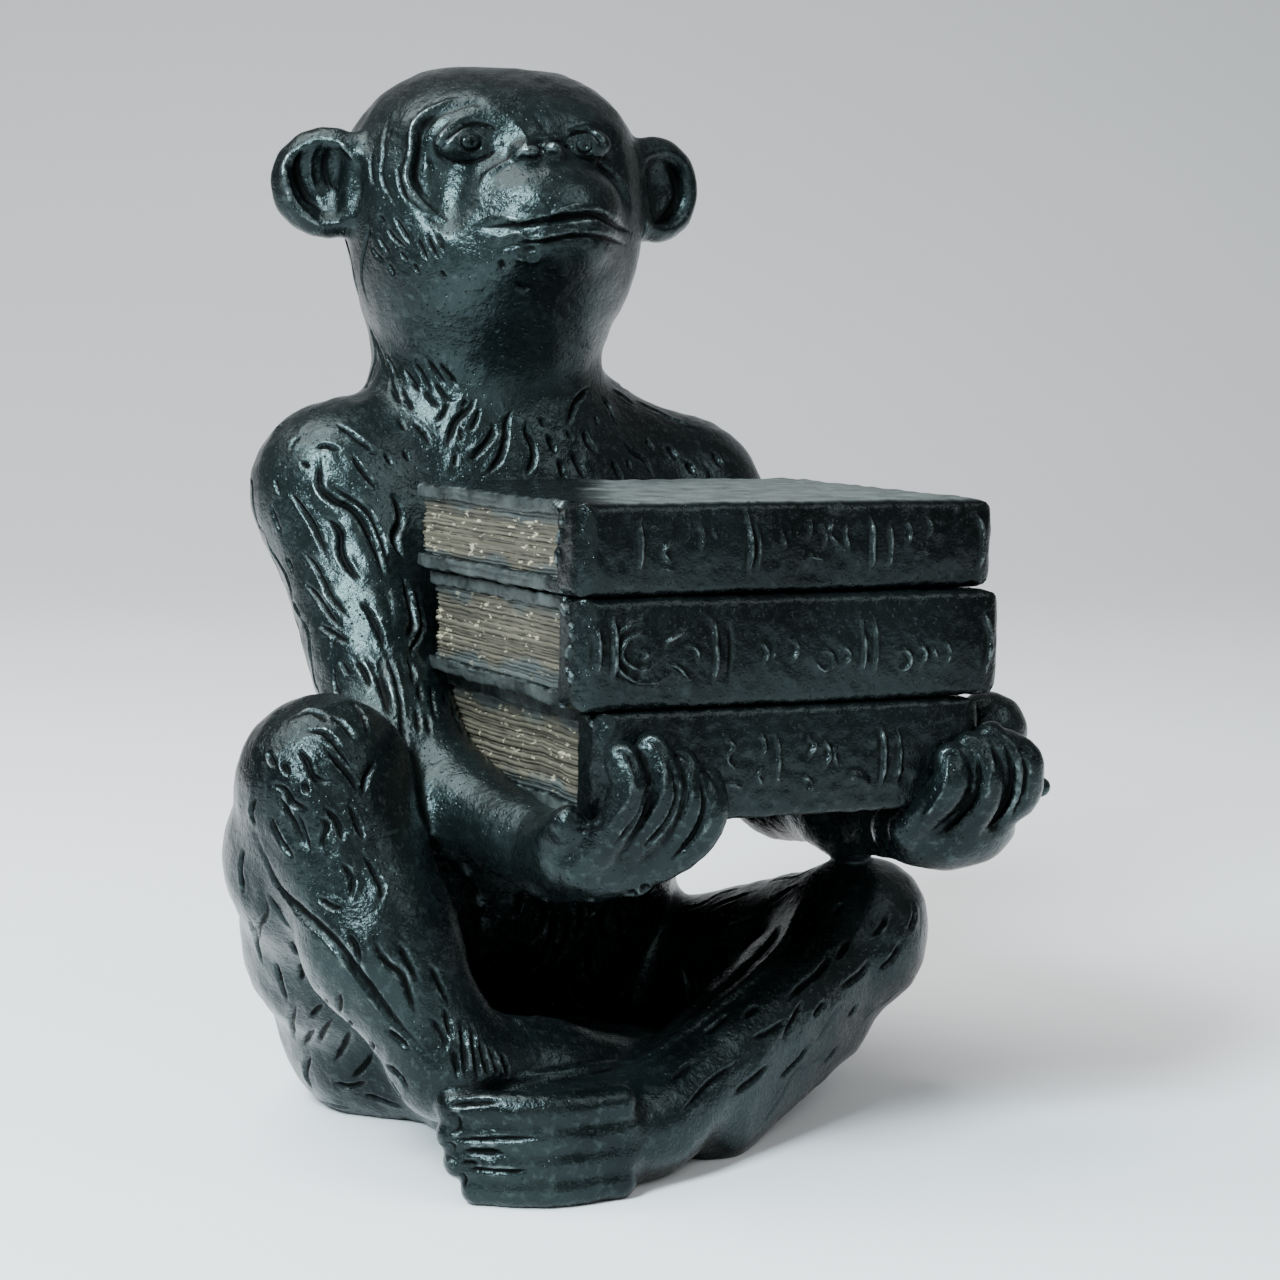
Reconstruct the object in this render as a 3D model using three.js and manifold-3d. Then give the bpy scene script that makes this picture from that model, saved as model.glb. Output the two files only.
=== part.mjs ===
// A seated monkey that carries a stack of three books on its hands, cast in one piece.
// Millimetres, +Z up. The figure stands on z = 0 and faces -Y, with its right side at -X.

import * as THREE from 'three';
import { triTable } from 'three/addons/objects/MarchingCubes.js';
import Module from 'manifold-3d';

// Driving dimensions

const skullCentre = [-3.2, 2, 212];
const faceTurn = THREE.MathUtils.degToRad(-8);

const shoulder = { right: [-42.5, 3, 143], left: [47, 3, 136.5] };
const upperArmRadius = 19;
const elbow = { right: [-45.5, -34, 90], left: [59, -32, 72.5] };
const elbowRadius = 14;
const forearm = { right: [-40, -60, 77], left: [59, -60, 71.5] };
const forearmRadius = { right: 10, left: 12 };
const wrist = { right: [-33, -93, 71.5], left: [58, -94, 71.5] };
const wristRadius = 10;
const fingerRadius = 4;

const hip = { right: [-32.5, 2, 20], left: [30, 8, 10] };
const hipRadius = { right: 25, left: 23 };
const thigh = [-52, -25, 44];
const thighRadius = 24;
const raisedThigh = [-67, -44, 66];
const raisedThighRadius = 20;
const knee = { right: [-70.5, -55, 84.2], left: [60, -60, 38] };
const kneeRadius = 18;
const calf = { right: [-65, -72, 52], left: [48, -62, 23] };
const calfRadius = { right: 16, left: 14.6 };
const ankle = { right: [-54, -84, 27], left: [-12, -95, 12] };
const ankleRadius = 12;
const toeRadius = 4;
const toeSpacing = 5.6;

const furRadius = 1.7;
const furSway = 12;

// The stack of books leans to the monkey's left, and each book lies on the one below
const stackCorner = [-40, -118, 81];
const stackLean = THREE.MathUtils.degToRad(1.3);
const books = [
  { shift: 4, turn: -1.1, length: 93, depth: 82, thickness: 24 },
  { shift: -0.8, turn: -1, length: 102, depth: 81, thickness: 23.2 },
  { shift: -1.2, turn: 0.8, length: 102, depth: 82, thickness: 19.4 },
];
const coverThickness = 2.6;
const coverCorner = 1.5;
const pageInset = 3;
const spineDepth = 12;
const spineCorner = 5;
const spineEndCorner = { left: 2.5, right: 5.5 };
const spineBulge = 1.1;

const casting = {
  color: 0x23282b,
  roughness: 0.42,
  metalness: 0.7,
};

// Working sizes of the modelled surface

const cellSize = 1.6;
// Blocks of cells this many cells wide are filled in one go where the surface is a safe way off
const blockCells = 5;
const safety = 1.6;
const figureTriangles = 8200;
const shortestEdge = 0.4;
// The masses reach this far below the floor, and the ground is cut away from them
const rootDepth = 4;
const groundSize = 400;
const room = { low: [-98, -132, -9], high: [92, 62, 250] };

// Masses

// Each mass has a centre and a reach, so that points far away skip it
function mass(centre, reach, distance) {
  return { centre, reach, distance };
}

// An ellipsoid, turned by angles about X, Y and Z in degrees
function ball(centre, radii, turn = [0, 0, 0], place = new THREE.Matrix4()) {
  const angles = turn.map((angle) => THREE.MathUtils.degToRad(angle));
  const rotation = new THREE.Matrix4().makeRotationFromEuler(new THREE.Euler(...angles));
  const turned = place.clone().multiply(rotation);
  const [xx, xy, xz, , yx, yy, yz, , zx, zy, zz] = turned.elements;
  const middle = new THREE.Vector3(...centre).applyMatrix4(place).toArray();
  const [rx, ry, rz] = radii;
  return mass(middle, Math.max(...radii), (x, y, z) => {
    const px = x - middle[0];
    const py = y - middle[1];
    const pz = z - middle[2];
    const u = (px * xx + py * xy + pz * xz) / rx;
    const v = (px * yx + py * yy + pz * yz) / ry;
    const w = (px * zx + py * zy + pz * zz) / rz;
    const level = Math.sqrt(u * u + v * v + w * w);
    const slope = Math.sqrt((u / rx) ** 2 + (v / ry) ** 2 + (w / rz) ** 2);
    return slope > 0 ? level * (level - 1) / slope : -Math.min(...radii);
  });
}

// A tapered limb between two round ends
function limb(from, fromRadius, to, toRadius, place = new THREE.Matrix4()) {
  const start = new THREE.Vector3(...from).applyMatrix4(place);
  const end = new THREE.Vector3(...to).applyMatrix4(place);
  const span = end.clone().sub(start);
  const lengthSquared = span.lengthSq();
  const centre = start.clone().lerp(end, 0.5).toArray();
  const reach = span.length() / 2 + Math.max(fromRadius, toRadius);
  return mass(centre, reach, (x, y, z) => {
    const px = x - start.x;
    const py = y - start.y;
    const pz = z - start.z;
    const along = (px * span.x + py * span.y + pz * span.z) / lengthSquared;
    const t = Math.min(1, Math.max(0, along));
    const away = Math.hypot(px - t * span.x, py - t * span.y, pz - t * span.z);
    return away - fromRadius - t * (toRadius - fromRadius);
  });
}

// A rounded ridge or groove along a smooth curve through a few points
function ridge(points, radius, place = new THREE.Matrix4(), bends = 3) {
  const curve = new THREE.CatmullRomCurve3(points.map((point) => new THREE.Vector3(...point)));
  const stations = curve.getPoints((points.length - 1) * bends).map((point) => point.toArray());
  const parts = stations.slice(1).map((point, i) => limb(stations[i], radius, point, radius, place));
  const box = new THREE.Box3().setFromPoints(parts.map((part) => new THREE.Vector3(...part.centre)));
  const centre = box.getCenter(new THREE.Vector3());
  const reaches = parts.map((part) => centre.distanceTo(new THREE.Vector3(...part.centre)) + part.reach);
  const reach = Math.max(...reaches);
  return mass(centre.toArray(), reach, (x, y, z) => {
    return parts.reduce((least, part) => Math.min(least, part.distance(x, y, z)), Infinity);
  });
}

// The smaller of two distances, with the crease between them filled over a width
function softLeast(a, b, width) {
  const near = Math.max(width - Math.abs(a - b), 0) / width;
  return Math.min(a, b) - near * near * width / 4;
}

class Sculpture {
  steps = [];

  add(width, ...masses) {
    masses.forEach((piece) => this.steps.push({ piece, width, cuts: false }));
  }

  cut(width, ...masses) {
    masses.forEach((piece) => this.steps.push({ piece, width, cuts: true }));
  }

  distance(x, y, z) {
    let d = 1000;
    for (const { piece, width, cuts } of this.steps) {
      const [cx, cy, cz] = piece.centre;
      const bound = Math.hypot(x - cx, y - cy, z - cz) - piece.reach;
      if (cuts && bound < width - d) {
        d = -softLeast(-d, piece.distance(x, y, z), width);
      } else if (!cuts && bound < width + d) {
        d = softLeast(d, piece.distance(x, y, z), width);
      }
    }
    return Math.max(d, -rootDepth - z);
  }
}

// Head, in its own frame: the face looks along -Y and the monkey's left is at +X

const headPlace = new THREE.Matrix4()
  .makeTranslation(...skullCentre)
  .multiply(new THREE.Matrix4().makeRotationZ(faceTurn));

function addHead(figure) {
  const at = (centre, radii, turn) => ball(centre, radii, turn, headPlace);
  const along = (points, radius) => ridge(points, radius, headPlace);
  const skull = at([0, 3, 1.5], [36.5, 33, 29]);
  const jaw = at([0, -4, -15], [31.5, 29.5, 25]);
  const forehead = at([0, -12, 13], [25, 15.5, 10.5]);
  const bridge = at([1, -18.5, 8], [11, 10.5, 9]);
  const upperLip = at([4.5, -22.5, -4], [19, 18.5, 13.5]);
  const lowerLip = at([3, -24, -13], [16, 13.5, 7]);
  figure.add(10, skull);
  figure.add(12, jaw);
  figure.add(6, forehead);
  for (const side of [-1, 1]) {
    const crown = at([1.4 + side * 13, 4, 11], [17.6, 24, 16.2]);
    const faceEdge = [[25, -17.5, 14], [27.5, -18, 3], [25.5, -20.5, -4], [22, -24, -8]];
    figure.add(8, crown);
    figure.cut(5, at([side * 14, -34.5, 11.5], [11, 8, 7], [0, 0, side * -20]));
    figure.add(1.5, at([side * 14, -22.6, 11.5], [7.4, 4.6, 4.2], [0, 0, side * -20]));
    figure.add(2, along(faceEdge.map(([x, y, z]) => [side * x, y, z]), 1.6));
  }
  const nose = at([1.5, -28.5, 9.5], [5.5, 4.5, 3]);
  const mouthRight = [[-12.5, -31, -8.5], [-8, -36, -9], [2, -41, -8.2]];
  const mouthLeft = [[9, -41, -6.8], [16, -37, -7.4], [23, -29, -8.5]];
  figure.add(5, bridge);
  figure.add(3.5, upperLip);
  figure.add(8, lowerLip);
  figure.add(3, nose);
  figure.cut(1.5, along([...mouthRight, ...mouthLeft], 1.2));
}

function addEars(figure) {
  const ears = [{ side: -1, height: 3 }, { side: 1, height: 2.2 }];
  for (const { side, height } of ears) {
    const turn = [0, 0, side * 24];
    const cup = ball([side * 40.8, 0, height], [13.2, 6, 12.8], turn, headPlace);
    const hollow = ball([side * 43.3, -5.5, height], [9, 5.5, 9.4], turn, headPlace);
    const fold = limb([side * 34.8, -3, height + 4], 2.6, [side * 35.8, -3, height - 7], 2.6, headPlace);
    figure.add(4, cup);
    figure.cut(2.5, hollow);
    figure.add(2, fold);
  }
}

// Trunk

function addTrunk(figure) {
  const seat = ball([3, 16, 28], [46, 40, 36]);
  const belly = ball([3, -3, 76], [38, 42, 50]);
  const chest = ball([3, 6, 118], [44, 38, 40]);
  const shoulders = limb(shoulder.right, 20, shoulder.left, 20);
  const neck = limb([-1.5, 8, 150], 27, [-6, 4, 186], 26.2);
  const leftNeckMuscle = limb([10, 7, 157.5], 16, [46, 4, 139], 17.5);
  figure.add(10, seat);
  figure.add(24, belly);
  figure.add(24, chest);
  figure.add(20, shoulders);
  figure.add(18, neck);
  figure.add(8, leftNeckMuscle);
}

// Arms and hands

function addArm(figure, side) {
  const middle = forearm[side];
  const middleRadius = forearmRadius[side];
  figure.add(8, limb(shoulder[side], upperArmRadius, elbow[side], elbowRadius));
  figure.add(6, limb(elbow[side], elbowRadius, middle, middleRadius));
  figure.add(6, limb(middle, middleRadius, wrist[side], wristRadius));
}

function addHands(figure) {
  figure.add(6, ball([-31, -106, 73.5], [14, 14, 9.5]));
  figure.add(6, ball([54, -108, 73], [16.5, 14, 9.7]));
  const rightFingers = [
    [[-38, 72], [-33.7, 82.6], [-31.7, 90.2], [-32.3, 96]],
    [[-32.4, 74], [-25.3, 81.9], [-23.7, 90.8], [-25.3, 97.5]],
    [[-26.6, 72], [-18.5, 80.1], [-16.9, 87.8], [-18.6, 94]],
    [[-25.5, 70], [-16.2, 77.1], [-12.8, 84.7], [-12.7, 89.5]],
  ];
  const leftFingers = [
    [[40.6, 74], [44.1, 81.8], [46, 86], [47, 90]],
    [[49.8, 71.7], [53.9, 78.4], [54.8, 85.5], [52.1, 92]],
    [[60.2, 73.5], [63.2, 80.3], [61, 88.8], [57.2, 94]],
    [[63, 75.3], [66, 81.5], [64.5, 89.2], [61.5, 92]],
  ];
  const depths = [-114, -121, -123, -121];
  for (const finger of [...rightFingers, ...leftFingers]) {
    const path = finger.map(([x, z], n) => [x, depths[n], z]);
    figure.add(1.6, ridge(path, fingerRadius, undefined, 2));
  }
  const rightThumb = limb([-38, -100, 74], 6, [-41, -114, 82], 4);
  const leftThumbBase = limb([66, -102, 80], 9, [67, -106, 93], 8.6);
  const leftThumb = limb([72, -104, 80], 5, [81, -106, 79.2], 2.4);
  figure.add(3, rightThumb);
  figure.add(3, leftThumbBase);
  figure.add(3, leftThumb);
}

// Legs and feet

function addRightLeg(figure) {
  const seatSide = ball([-40.2, -14, 16], [22.5, 24, 20]);
  const webUnderKnee = limb([-33, -28, 14], 16, [-38, -62, 17], 11);
  const lapFloor = ball([-4, -52, 3], [36, 34, 18]);
  const heel = ball([-32, -82, 18], [16, 11, 14]);
  figure.add(10, limb(hip.right, hipRadius.right, thigh, thighRadius));
  figure.add(8, limb(thigh, thighRadius, raisedThigh, raisedThighRadius));
  figure.add(8, seatSide);
  figure.add(8, webUnderKnee);
  figure.add(8, lapFloor);
  figure.add(8, limb(raisedThigh, raisedThighRadius, knee.right, kneeRadius));
  figure.add(5, limb(knee.right, kneeRadius, calf.right, calfRadius.right));
  figure.add(5, limb(calf.right, calfRadius.right, ankle.right, ankleRadius - 1));
  figure.add(5, heel);
  figure.add(5, limb(ankle.right, ankleRadius, [6, -74, 11], 10));
}

function addLeftLeg(figure) {
  const kneeCap = ball([66.2, -57, 45], [13, 13, 10.3]);
  figure.add(6, limb(hip.left, hipRadius.left, knee.left, kneeRadius - 0.5));
  figure.add(6, kneeCap);
  figure.add(5, limb(knee.left, kneeRadius - 3, ankle.left, ankleRadius));
  figure.add(5, limb(calf.left, calfRadius.left, [8, -85, 8], 11.5));
}

function addFrontFoot(figure) {
  const sole = ball([-32, -96, 10], [25, 13, 13]);
  const soleToShin = limb([-25, -101, 11.5], 9, [-9, -95, 13.5], 8);
  const toeTips = [[-53.8, -97.5], [-57, -95.8], [-58, -95], [-58, -95]];
  figure.add(5, sole);
  figure.add(5, soleToShin);
  toeTips.forEach((tip, toe) => {
    const height = toeRadius - 0.4 + toeSpacing * toe;
    const path = [[-26, -107, height], [-42, -106, height], [...tip, height]];
    figure.add(1.6, ridge(path, toeRadius, undefined, 2));
  });
}

// Fur

// A wavy groove on a limb's skin, from one share of its length and angle round it to another
function furStroke(skin, from, to, sway, radius) {
  const [start, startRadius, end, endRadius] = skin;
  const base = new THREE.Vector3(...start);
  const axis = new THREE.Vector3(...end).sub(base);
  const along = axis.clone().normalize();
  const forward = new THREE.Vector3(0, -1, 0).projectOnPlane(along).normalize();
  const across = new THREE.Vector3().crossVectors(along, forward);
  const points = [0, 0.25, 0.5, 0.75, 1].map((share) => {
    const length = THREE.MathUtils.lerp(from[0], to[0], share);
    const wave = sway * Math.sin(2 * Math.PI * share);
    const angle = THREE.MathUtils.degToRad(THREE.MathUtils.lerp(from[1], to[1], share) + wave);
    const reach = THREE.MathUtils.lerp(startRadius, endRadius, length);
    return base.clone()
      .addScaledVector(axis, length)
      .addScaledVector(forward, reach * Math.cos(angle))
      .addScaledVector(across, reach * Math.sin(angle))
      .toArray();
  });
  return ridge(points, radius, undefined, 2);
}

function cutFur(figure) {
  const upperArm = [shoulder.right, upperArmRadius, elbow.right, elbowRadius];
  const shin = [knee.right, kneeRadius, calf.right, calfRadius.right];
  const strokes = [
    [upperArm, 0.05, 0.45, 15],
    [upperArm, 0.2, 0.7, 42],
    [upperArm, 0.45, 0.95, 68],
    [upperArm, 0.55, 0.95, 20],
    [shin, 0, 0.5, 10],
    [shin, 0.3, 0.95, 45],
  ];
  for (const [skin, from, to, angle] of strokes) {
    figure.cut(1.5, furStroke(skin, [from, angle - 10], [to, angle + 10], furSway, furRadius));
  }
}

function sculptFigure() {
  const figure = new Sculpture();
  addTrunk(figure);
  addHead(figure);
  addEars(figure);
  addRightLeg(figure);
  addLeftLeg(figure);
  addArm(figure, 'right');
  addArm(figure, 'left');
  addHands(figure);
  addFrontFoot(figure);
  cutFur(figure);
  return figure;
}

// Surface of the sculpture

function sampleField(sculpture) {
  const counts = room.low.map((low, axis) => Math.ceil((room.high[axis] - low) / cellSize) + 1);
  const [nx, ny, nz] = counts;
  const values = new Float32Array(nx * ny * nz);
  const safe = blockCells * cellSize * safety;
  for (let k0 = 0; k0 < nz; k0 += blockCells) {
    for (let j0 = 0; j0 < ny; j0 += blockCells) {
      for (let i0 = 0; i0 < nx; i0 += blockCells) {
        const middle = [i0, j0, k0].map((start, axis) => {
          return room.low[axis] + (start + (blockCells - 1) / 2) * cellSize;
        });
        const level = sculpture.distance(...middle);
        const far = Math.abs(level) > safe;
        for (let k = k0; k < Math.min(nz, k0 + blockCells); k += 1) {
          for (let j = j0; j < Math.min(ny, j0 + blockCells); j += 1) {
            for (let i = i0; i < Math.min(nx, i0 + blockCells); i += 1) {
              const x = room.low[0] + i * cellSize;
              const y = room.low[1] + j * cellSize;
              const z = room.low[2] + k * cellSize;
              const value = far ? level : sculpture.distance(x, y, z);
              values[i + nx * (j + ny * k)] = value === 0 ? 1e-6 : value;
            }
          }
        }
      }
    }
  }
  return { values, nx, ny, nz };
}

// The twelve edges of a cell, as the start corner's step and the axis of the edge
const cellEdges = [
  [0, 0, 0, 0], [1, 0, 0, 1], [0, 1, 0, 0], [0, 0, 0, 1],
  [0, 0, 1, 0], [1, 0, 1, 1], [0, 1, 1, 0], [0, 0, 1, 1],
  [0, 0, 0, 2], [1, 0, 0, 2], [1, 1, 0, 2], [0, 1, 0, 2],
];

const cellCorners = [
  [0, 0, 0], [1, 0, 0], [1, 1, 0], [0, 1, 0],
  [0, 0, 1], [1, 0, 1], [1, 1, 1], [0, 1, 1],
];

const rowLength = 16;

function surfaceOf(sculpture) {
  const { values, nx, ny, nz } = sampleField(sculpture);
  const steps = [1, nx, nx * ny];
  const crossings = new Map();
  const points = [];
  const faces = [];
  const crossing = (i, j, k, axis) => {
    const start = i + nx * (j + ny * k);
    const key = start * 3 + axis;
    if (!crossings.has(key)) {
      const a = values[start];
      const b = values[start + steps[axis]];
      const place = [i, j, k];
      place[axis] += a / (a - b);
      crossings.set(key, points.length / 3);
      points.push(...place.map((step, n) => room.low[n] + step * cellSize));
    }
    return crossings.get(key);
  };
  for (let k = 0; k < nz - 1; k += 1) {
    for (let j = 0; j < ny - 1; j += 1) {
      for (let i = 0; i < nx - 1; i += 1) {
        let code = 0;
        cellCorners.forEach(([dx, dy, dz], bit) => {
          code |= values[i + dx + nx * (j + dy + ny * (k + dz))] > 0 ? 1 << bit : 0;
        });
        if (code !== 0 && code !== 255) {
          for (let n = code * rowLength; triTable[n] !== -1; n += 1) {
            const [dx, dy, dz, axis] = cellEdges[triTable[n]];
            faces.push(crossing(i + dx, j + dy, k + dz, axis));
          }
        }
      }
    }
  }
  return { points, faces };
}

// Fewer triangles by joining the ends of the edges whose loss changes the shape least

class EdgeQueue {
  costs = [];
  edges = [];

  push(cost, edge) {
    let n = this.costs.length;
    while (n > 0) {
      const parent = (n - 1) >> 1;
      if (this.costs[parent] <= cost) {
        break;
      }
      this.costs[n] = this.costs[parent];
      this.edges[n] = this.edges[parent];
      n = parent;
    }
    this.costs[n] = cost;
    this.edges[n] = edge;
  }

  pop() {
    const top = this.edges[0];
    const cost = this.costs.pop();
    const edge = this.edges.pop();
    const size = this.costs.length;
    let n = 0;
    while (2 * n + 1 < size) {
      let child = 2 * n + 1;
      if (child + 1 < size && this.costs[child + 1] < this.costs[child]) {
        child += 1;
      }
      if (this.costs[child] >= cost) {
        break;
      }
      this.costs[n] = this.costs[child];
      this.edges[n] = this.edges[child];
      n = child;
    }
    if (size > 0) {
      this.costs[n] = cost;
      this.edges[n] = edge;
    }
    return top;
  }
}

function thinned(surface, wanted, longest = Infinity) {
  const points = Float64Array.from(surface.points);
  const faces = Int32Array.from(surface.faces);
  const pointCount = points.length / 3;
  const faceCount = faces.length / 3;
  const around = Array.from({ length: pointCount }, () => []);
  const errors = new Float64Array(pointCount * 10);
  const age = new Int32Array(pointCount);
  const alive = new Uint8Array(faceCount).fill(1);
  const normal = (a, b, c) => {
    const ux = points[3 * b] - points[3 * a];
    const uy = points[3 * b + 1] - points[3 * a + 1];
    const uz = points[3 * b + 2] - points[3 * a + 2];
    const vx = points[3 * c] - points[3 * a];
    const vy = points[3 * c + 1] - points[3 * a + 1];
    const vz = points[3 * c + 2] - points[3 * a + 2];
    return [uy * vz - uz * vy, uz * vx - ux * vz, ux * vy - uy * vx];
  };
  const evenness = 2e-3;
  const leastAgreement = 0.3;
  for (let f = 0; f < faceCount; f += 1) {
    const corners = [faces[3 * f], faces[3 * f + 1], faces[3 * f + 2]];
    const n = normal(...corners);
    const size = Math.hypot(...n) || 1e-12;
    const [a, b, c] = n.map((part) => part / size);
    const p = 3 * corners[0];
    const d = -(a * points[p] + b * points[p + 1] + c * points[p + 2]);
    const plane = [a * a, a * b, a * c, a * d, b * b, b * c, b * d, c * c, c * d, d * d];
    corners.forEach((corner) => {
      around[corner].push(f);
      plane.forEach((term, i) => {
        errors[corner * 10 + i] += term * size;
      });
    });
  }
  const merged = (a, b) => Array.from({ length: 10 }, (_, i) => errors[a * 10 + i] + errors[b * 10 + i]);
  const errorAt = (q, x, y, z) => {
    return q[0] * x * x + 2 * q[1] * x * y + 2 * q[2] * x * z + 2 * q[3] * x + q[4] * y * y
      + 2 * q[5] * y * z + 2 * q[6] * y + q[7] * z * z + 2 * q[8] * z + q[9];
  };
  const bestPlace = (a, b) => {
    const q = merged(a, b);
    const mid = [0, 1, 2].map((n) => (points[3 * a + n] + points[3 * b + n]) / 2);
    const gap = Math.hypot(...[0, 1, 2].map((n) => points[3 * a + n] - points[3 * b + n]));
    const keep = evenness * (q[0] + q[4] + q[7]);
    const m = [q[0] + keep, q[1], q[2], q[4] + keep, q[5], q[7] + keep];
    const r = [keep * mid[0] - q[3], keep * mid[1] - q[6], keep * mid[2] - q[8]];
    const c00 = m[3] * m[5] - m[4] * m[4];
    const c01 = m[2] * m[4] - m[1] * m[5];
    const c02 = m[1] * m[4] - m[2] * m[3];
    const det = m[0] * c00 + m[1] * c01 + m[2] * c02;
    let place = mid;
    if (Math.abs(det) > 1e-12) {
      const c11 = m[0] * m[5] - m[2] * m[2];
      const c12 = m[1] * m[2] - m[0] * m[4];
      const c22 = m[0] * m[3] - m[1] * m[1];
      const solved = [
        (c00 * r[0] + c01 * r[1] + c02 * r[2]) / det,
        (c01 * r[0] + c11 * r[1] + c12 * r[2]) / det,
        (c02 * r[0] + c12 * r[1] + c22 * r[2]) / det,
      ];
      if (Math.hypot(...solved.map((v, n) => v - mid[n])) < gap) {
        place = solved;
      }
    }
    if (longest < Infinity) {
      const ends = [a, b].map((end) => [points[3 * end], points[3 * end + 1], points[3 * end + 2]]);
      place = errorAt(q, ...ends[0]) < errorAt(q, ...ends[1]) ? ends[0] : ends[1];
    }
    const cost = Math.max(0, errorAt(q, ...place)) + evenness * gap * gap * gap;
    return { cost, place, gap };
  };
  const queue = new EdgeQueue();
  const offer = (a, b) => {
    const { cost, place, gap } = bestPlace(a, b);
    if (gap < longest) {
      queue.push(cost, { a, b, place, ageA: age[a], ageB: age[b] });
    }
  };
  const neighbours = (a) => {
    const found = new Set();
    around[a].forEach((f) => {
      for (let n = 0; n < 3; n += 1) {
        if (faces[3 * f + n] !== a) {
          found.add(faces[3 * f + n]);
        }
      }
    });
    return found;
  };
  for (let a = 0; a < pointCount; a += 1) {
    neighbours(a).forEach((b) => {
      if (a < b) {
        offer(a, b);
      }
    });
  }
  const turnsOver = (a, b, place) => {
    return around[a].some((f) => {
      const corners = [faces[3 * f], faces[3 * f + 1], faces[3 * f + 2]];
      if (corners.includes(b)) {
        return false;
      }
      const before = normal(...corners);
      const kept = [points[3 * a], points[3 * a + 1], points[3 * a + 2]];
      place.forEach((v, n) => {
        points[3 * a + n] = v;
      });
      const after = normal(...corners);
      kept.forEach((v, n) => {
        points[3 * a + n] = v;
      });
      const agreement = before[0] * after[0] + before[1] * after[1] + before[2] * after[2];
      return agreement < leastAgreement * Math.hypot(...before) * Math.hypot(...after);
    });
  };
  let left = faceCount;
  while (left > wanted && queue.costs.length > 0) {
    const { a, b, place, ageA, ageB } = queue.pop();
    if (age[a] !== ageA || age[b] !== ageB) {
      continue;
    }
    const nearB = neighbours(b);
    const shared = [...neighbours(a)].filter((other) => nearB.has(other));
    if (shared.length !== 2 || turnsOver(a, b, place) || turnsOver(b, a, place)) {
      continue;
    }
    for (let i = 0; i < 10; i += 1) {
      errors[a * 10 + i] += errors[b * 10 + i];
    }
    place.forEach((v, n) => {
      points[3 * a + n] = v;
    });
    around[b].forEach((f) => {
      const corners = [faces[3 * f], faces[3 * f + 1], faces[3 * f + 2]];
      if (corners.includes(a)) {
        alive[f] = 0;
        left -= 1;
        shared.forEach((other) => {
          around[other] = around[other].filter((face) => face !== f);
        });
      } else {
        faces[3 * f + corners.indexOf(b)] = a;
        around[a].push(f);
      }
    });
    around[a] = around[a].filter((f) => alive[f]);
    around[b] = [];
    age[a] += 1;
    age[b] = -1;
    neighbours(a).forEach((other) => offer(a, other));
  }
  const numbers = new Map();
  const keptPoints = [];
  const keptFaces = [];
  for (let f = 0; f < faceCount; f += 1) {
    if (alive[f]) {
      for (let n = 0; n < 3; n += 1) {
        const corner = faces[3 * f + n];
        if (!numbers.has(corner)) {
          numbers.set(corner, numbers.size);
          keptPoints.push(points[3 * corner], points[3 * corner + 1], points[3 * corner + 2]);
        }
        keptFaces.push(numbers.get(corner));
      }
    }
  }
  return { points: keptPoints, faces: keptFaces };
}

// Solids for the joins and cuts

const wasm = await Module();
wasm.setup();

function solidFrom({ points, faces }) {
  const mesh = new wasm.Mesh({
    numProp: 3,
    vertProperties: new Float32Array(points),
    triVerts: new Uint32Array(faces),
  });
  mesh.merge();
  return new wasm.Manifold(mesh);
}

function solidOf(geometry) {
  const loose = geometry.index ? geometry.toNonIndexed() : geometry;
  const points = Array.from(loose.attributes.position.array);
  return solidFrom({ points, faces: points.slice(0, points.length / 3).map((_, i) => i) });
}

// Books

// A rectangle with round corners, as a shape for an extrusion
function roundedRectangle(x0, y0, x1, y1, left, right = left) {
  const shape = new THREE.Shape();
  const arc = (x, y, corner, start) => shape.absarc(x, y, corner, start, start + Math.PI / 2, false);
  shape.moveTo(x0 + left, y0);
  arc(x1 - right, y0 + right, right, -Math.PI / 2);
  arc(x1 - right, y1 - right, right, 0);
  arc(x0 + left, y1 - left, left, Math.PI / 2);
  arc(x0 + left, y0 + left, left, Math.PI);
  return shape;
}

function extruded(shape, depth) {
  return new THREE.ExtrudeGeometry(shape, { depth, bevelEnabled: false, curveSegments: 4 });
}

// A book with its spine's left end at the origin: length along X, depth along Y
function bookSolid({ length, depth, thickness }) {
  const top = thickness;
  const slab = (shape, low, high) => solidOf(extruded(shape, high - low).translate(0, 0, low));
  const boards = roundedRectangle(0, spineDepth - 2, length, depth, coverCorner);
  const pages = roundedRectangle(pageInset, spineCorner, length - pageInset, depth - pageInset, 1);
  const plan = roundedRectangle(0, 0, length, spineDepth + spineCorner, spineCorner);

  const section = new THREE.Shape();
  section.moveTo(spineDepth, 0);
  section.lineTo(spineBulge, 0);
  section.quadraticCurveTo(-spineBulge, top / 2, spineBulge, top);
  section.lineTo(spineDepth, top);
  const [alongX, alongY, alongZ] = [0, 1, 2].map((axis) => new THREE.Vector3().setComponent(axis, 1));
  const lying = new THREE.Matrix4().makeBasis(alongY, alongZ, alongX);
  const bar = extruded(section, length).applyMatrix4(lying);

  const { left, right } = spineEndCorner;
  const face = extruded(roundedRectangle(0, 0, length, thickness, left, right), spineDepth + 2 * spineBulge);
  face.rotateX(Math.PI / 2);
  face.translate(0, spineDepth, 0);

  return solidOf(bar)
    .intersect(slab(plan, 0, top))
    .intersect(solidOf(face))
    .add(slab(boards, 0, coverThickness))
    .add(slab(boards, top - coverThickness, top))
    .add(slab(pages, coverThickness / 2, top - coverThickness / 2));
}

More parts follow.
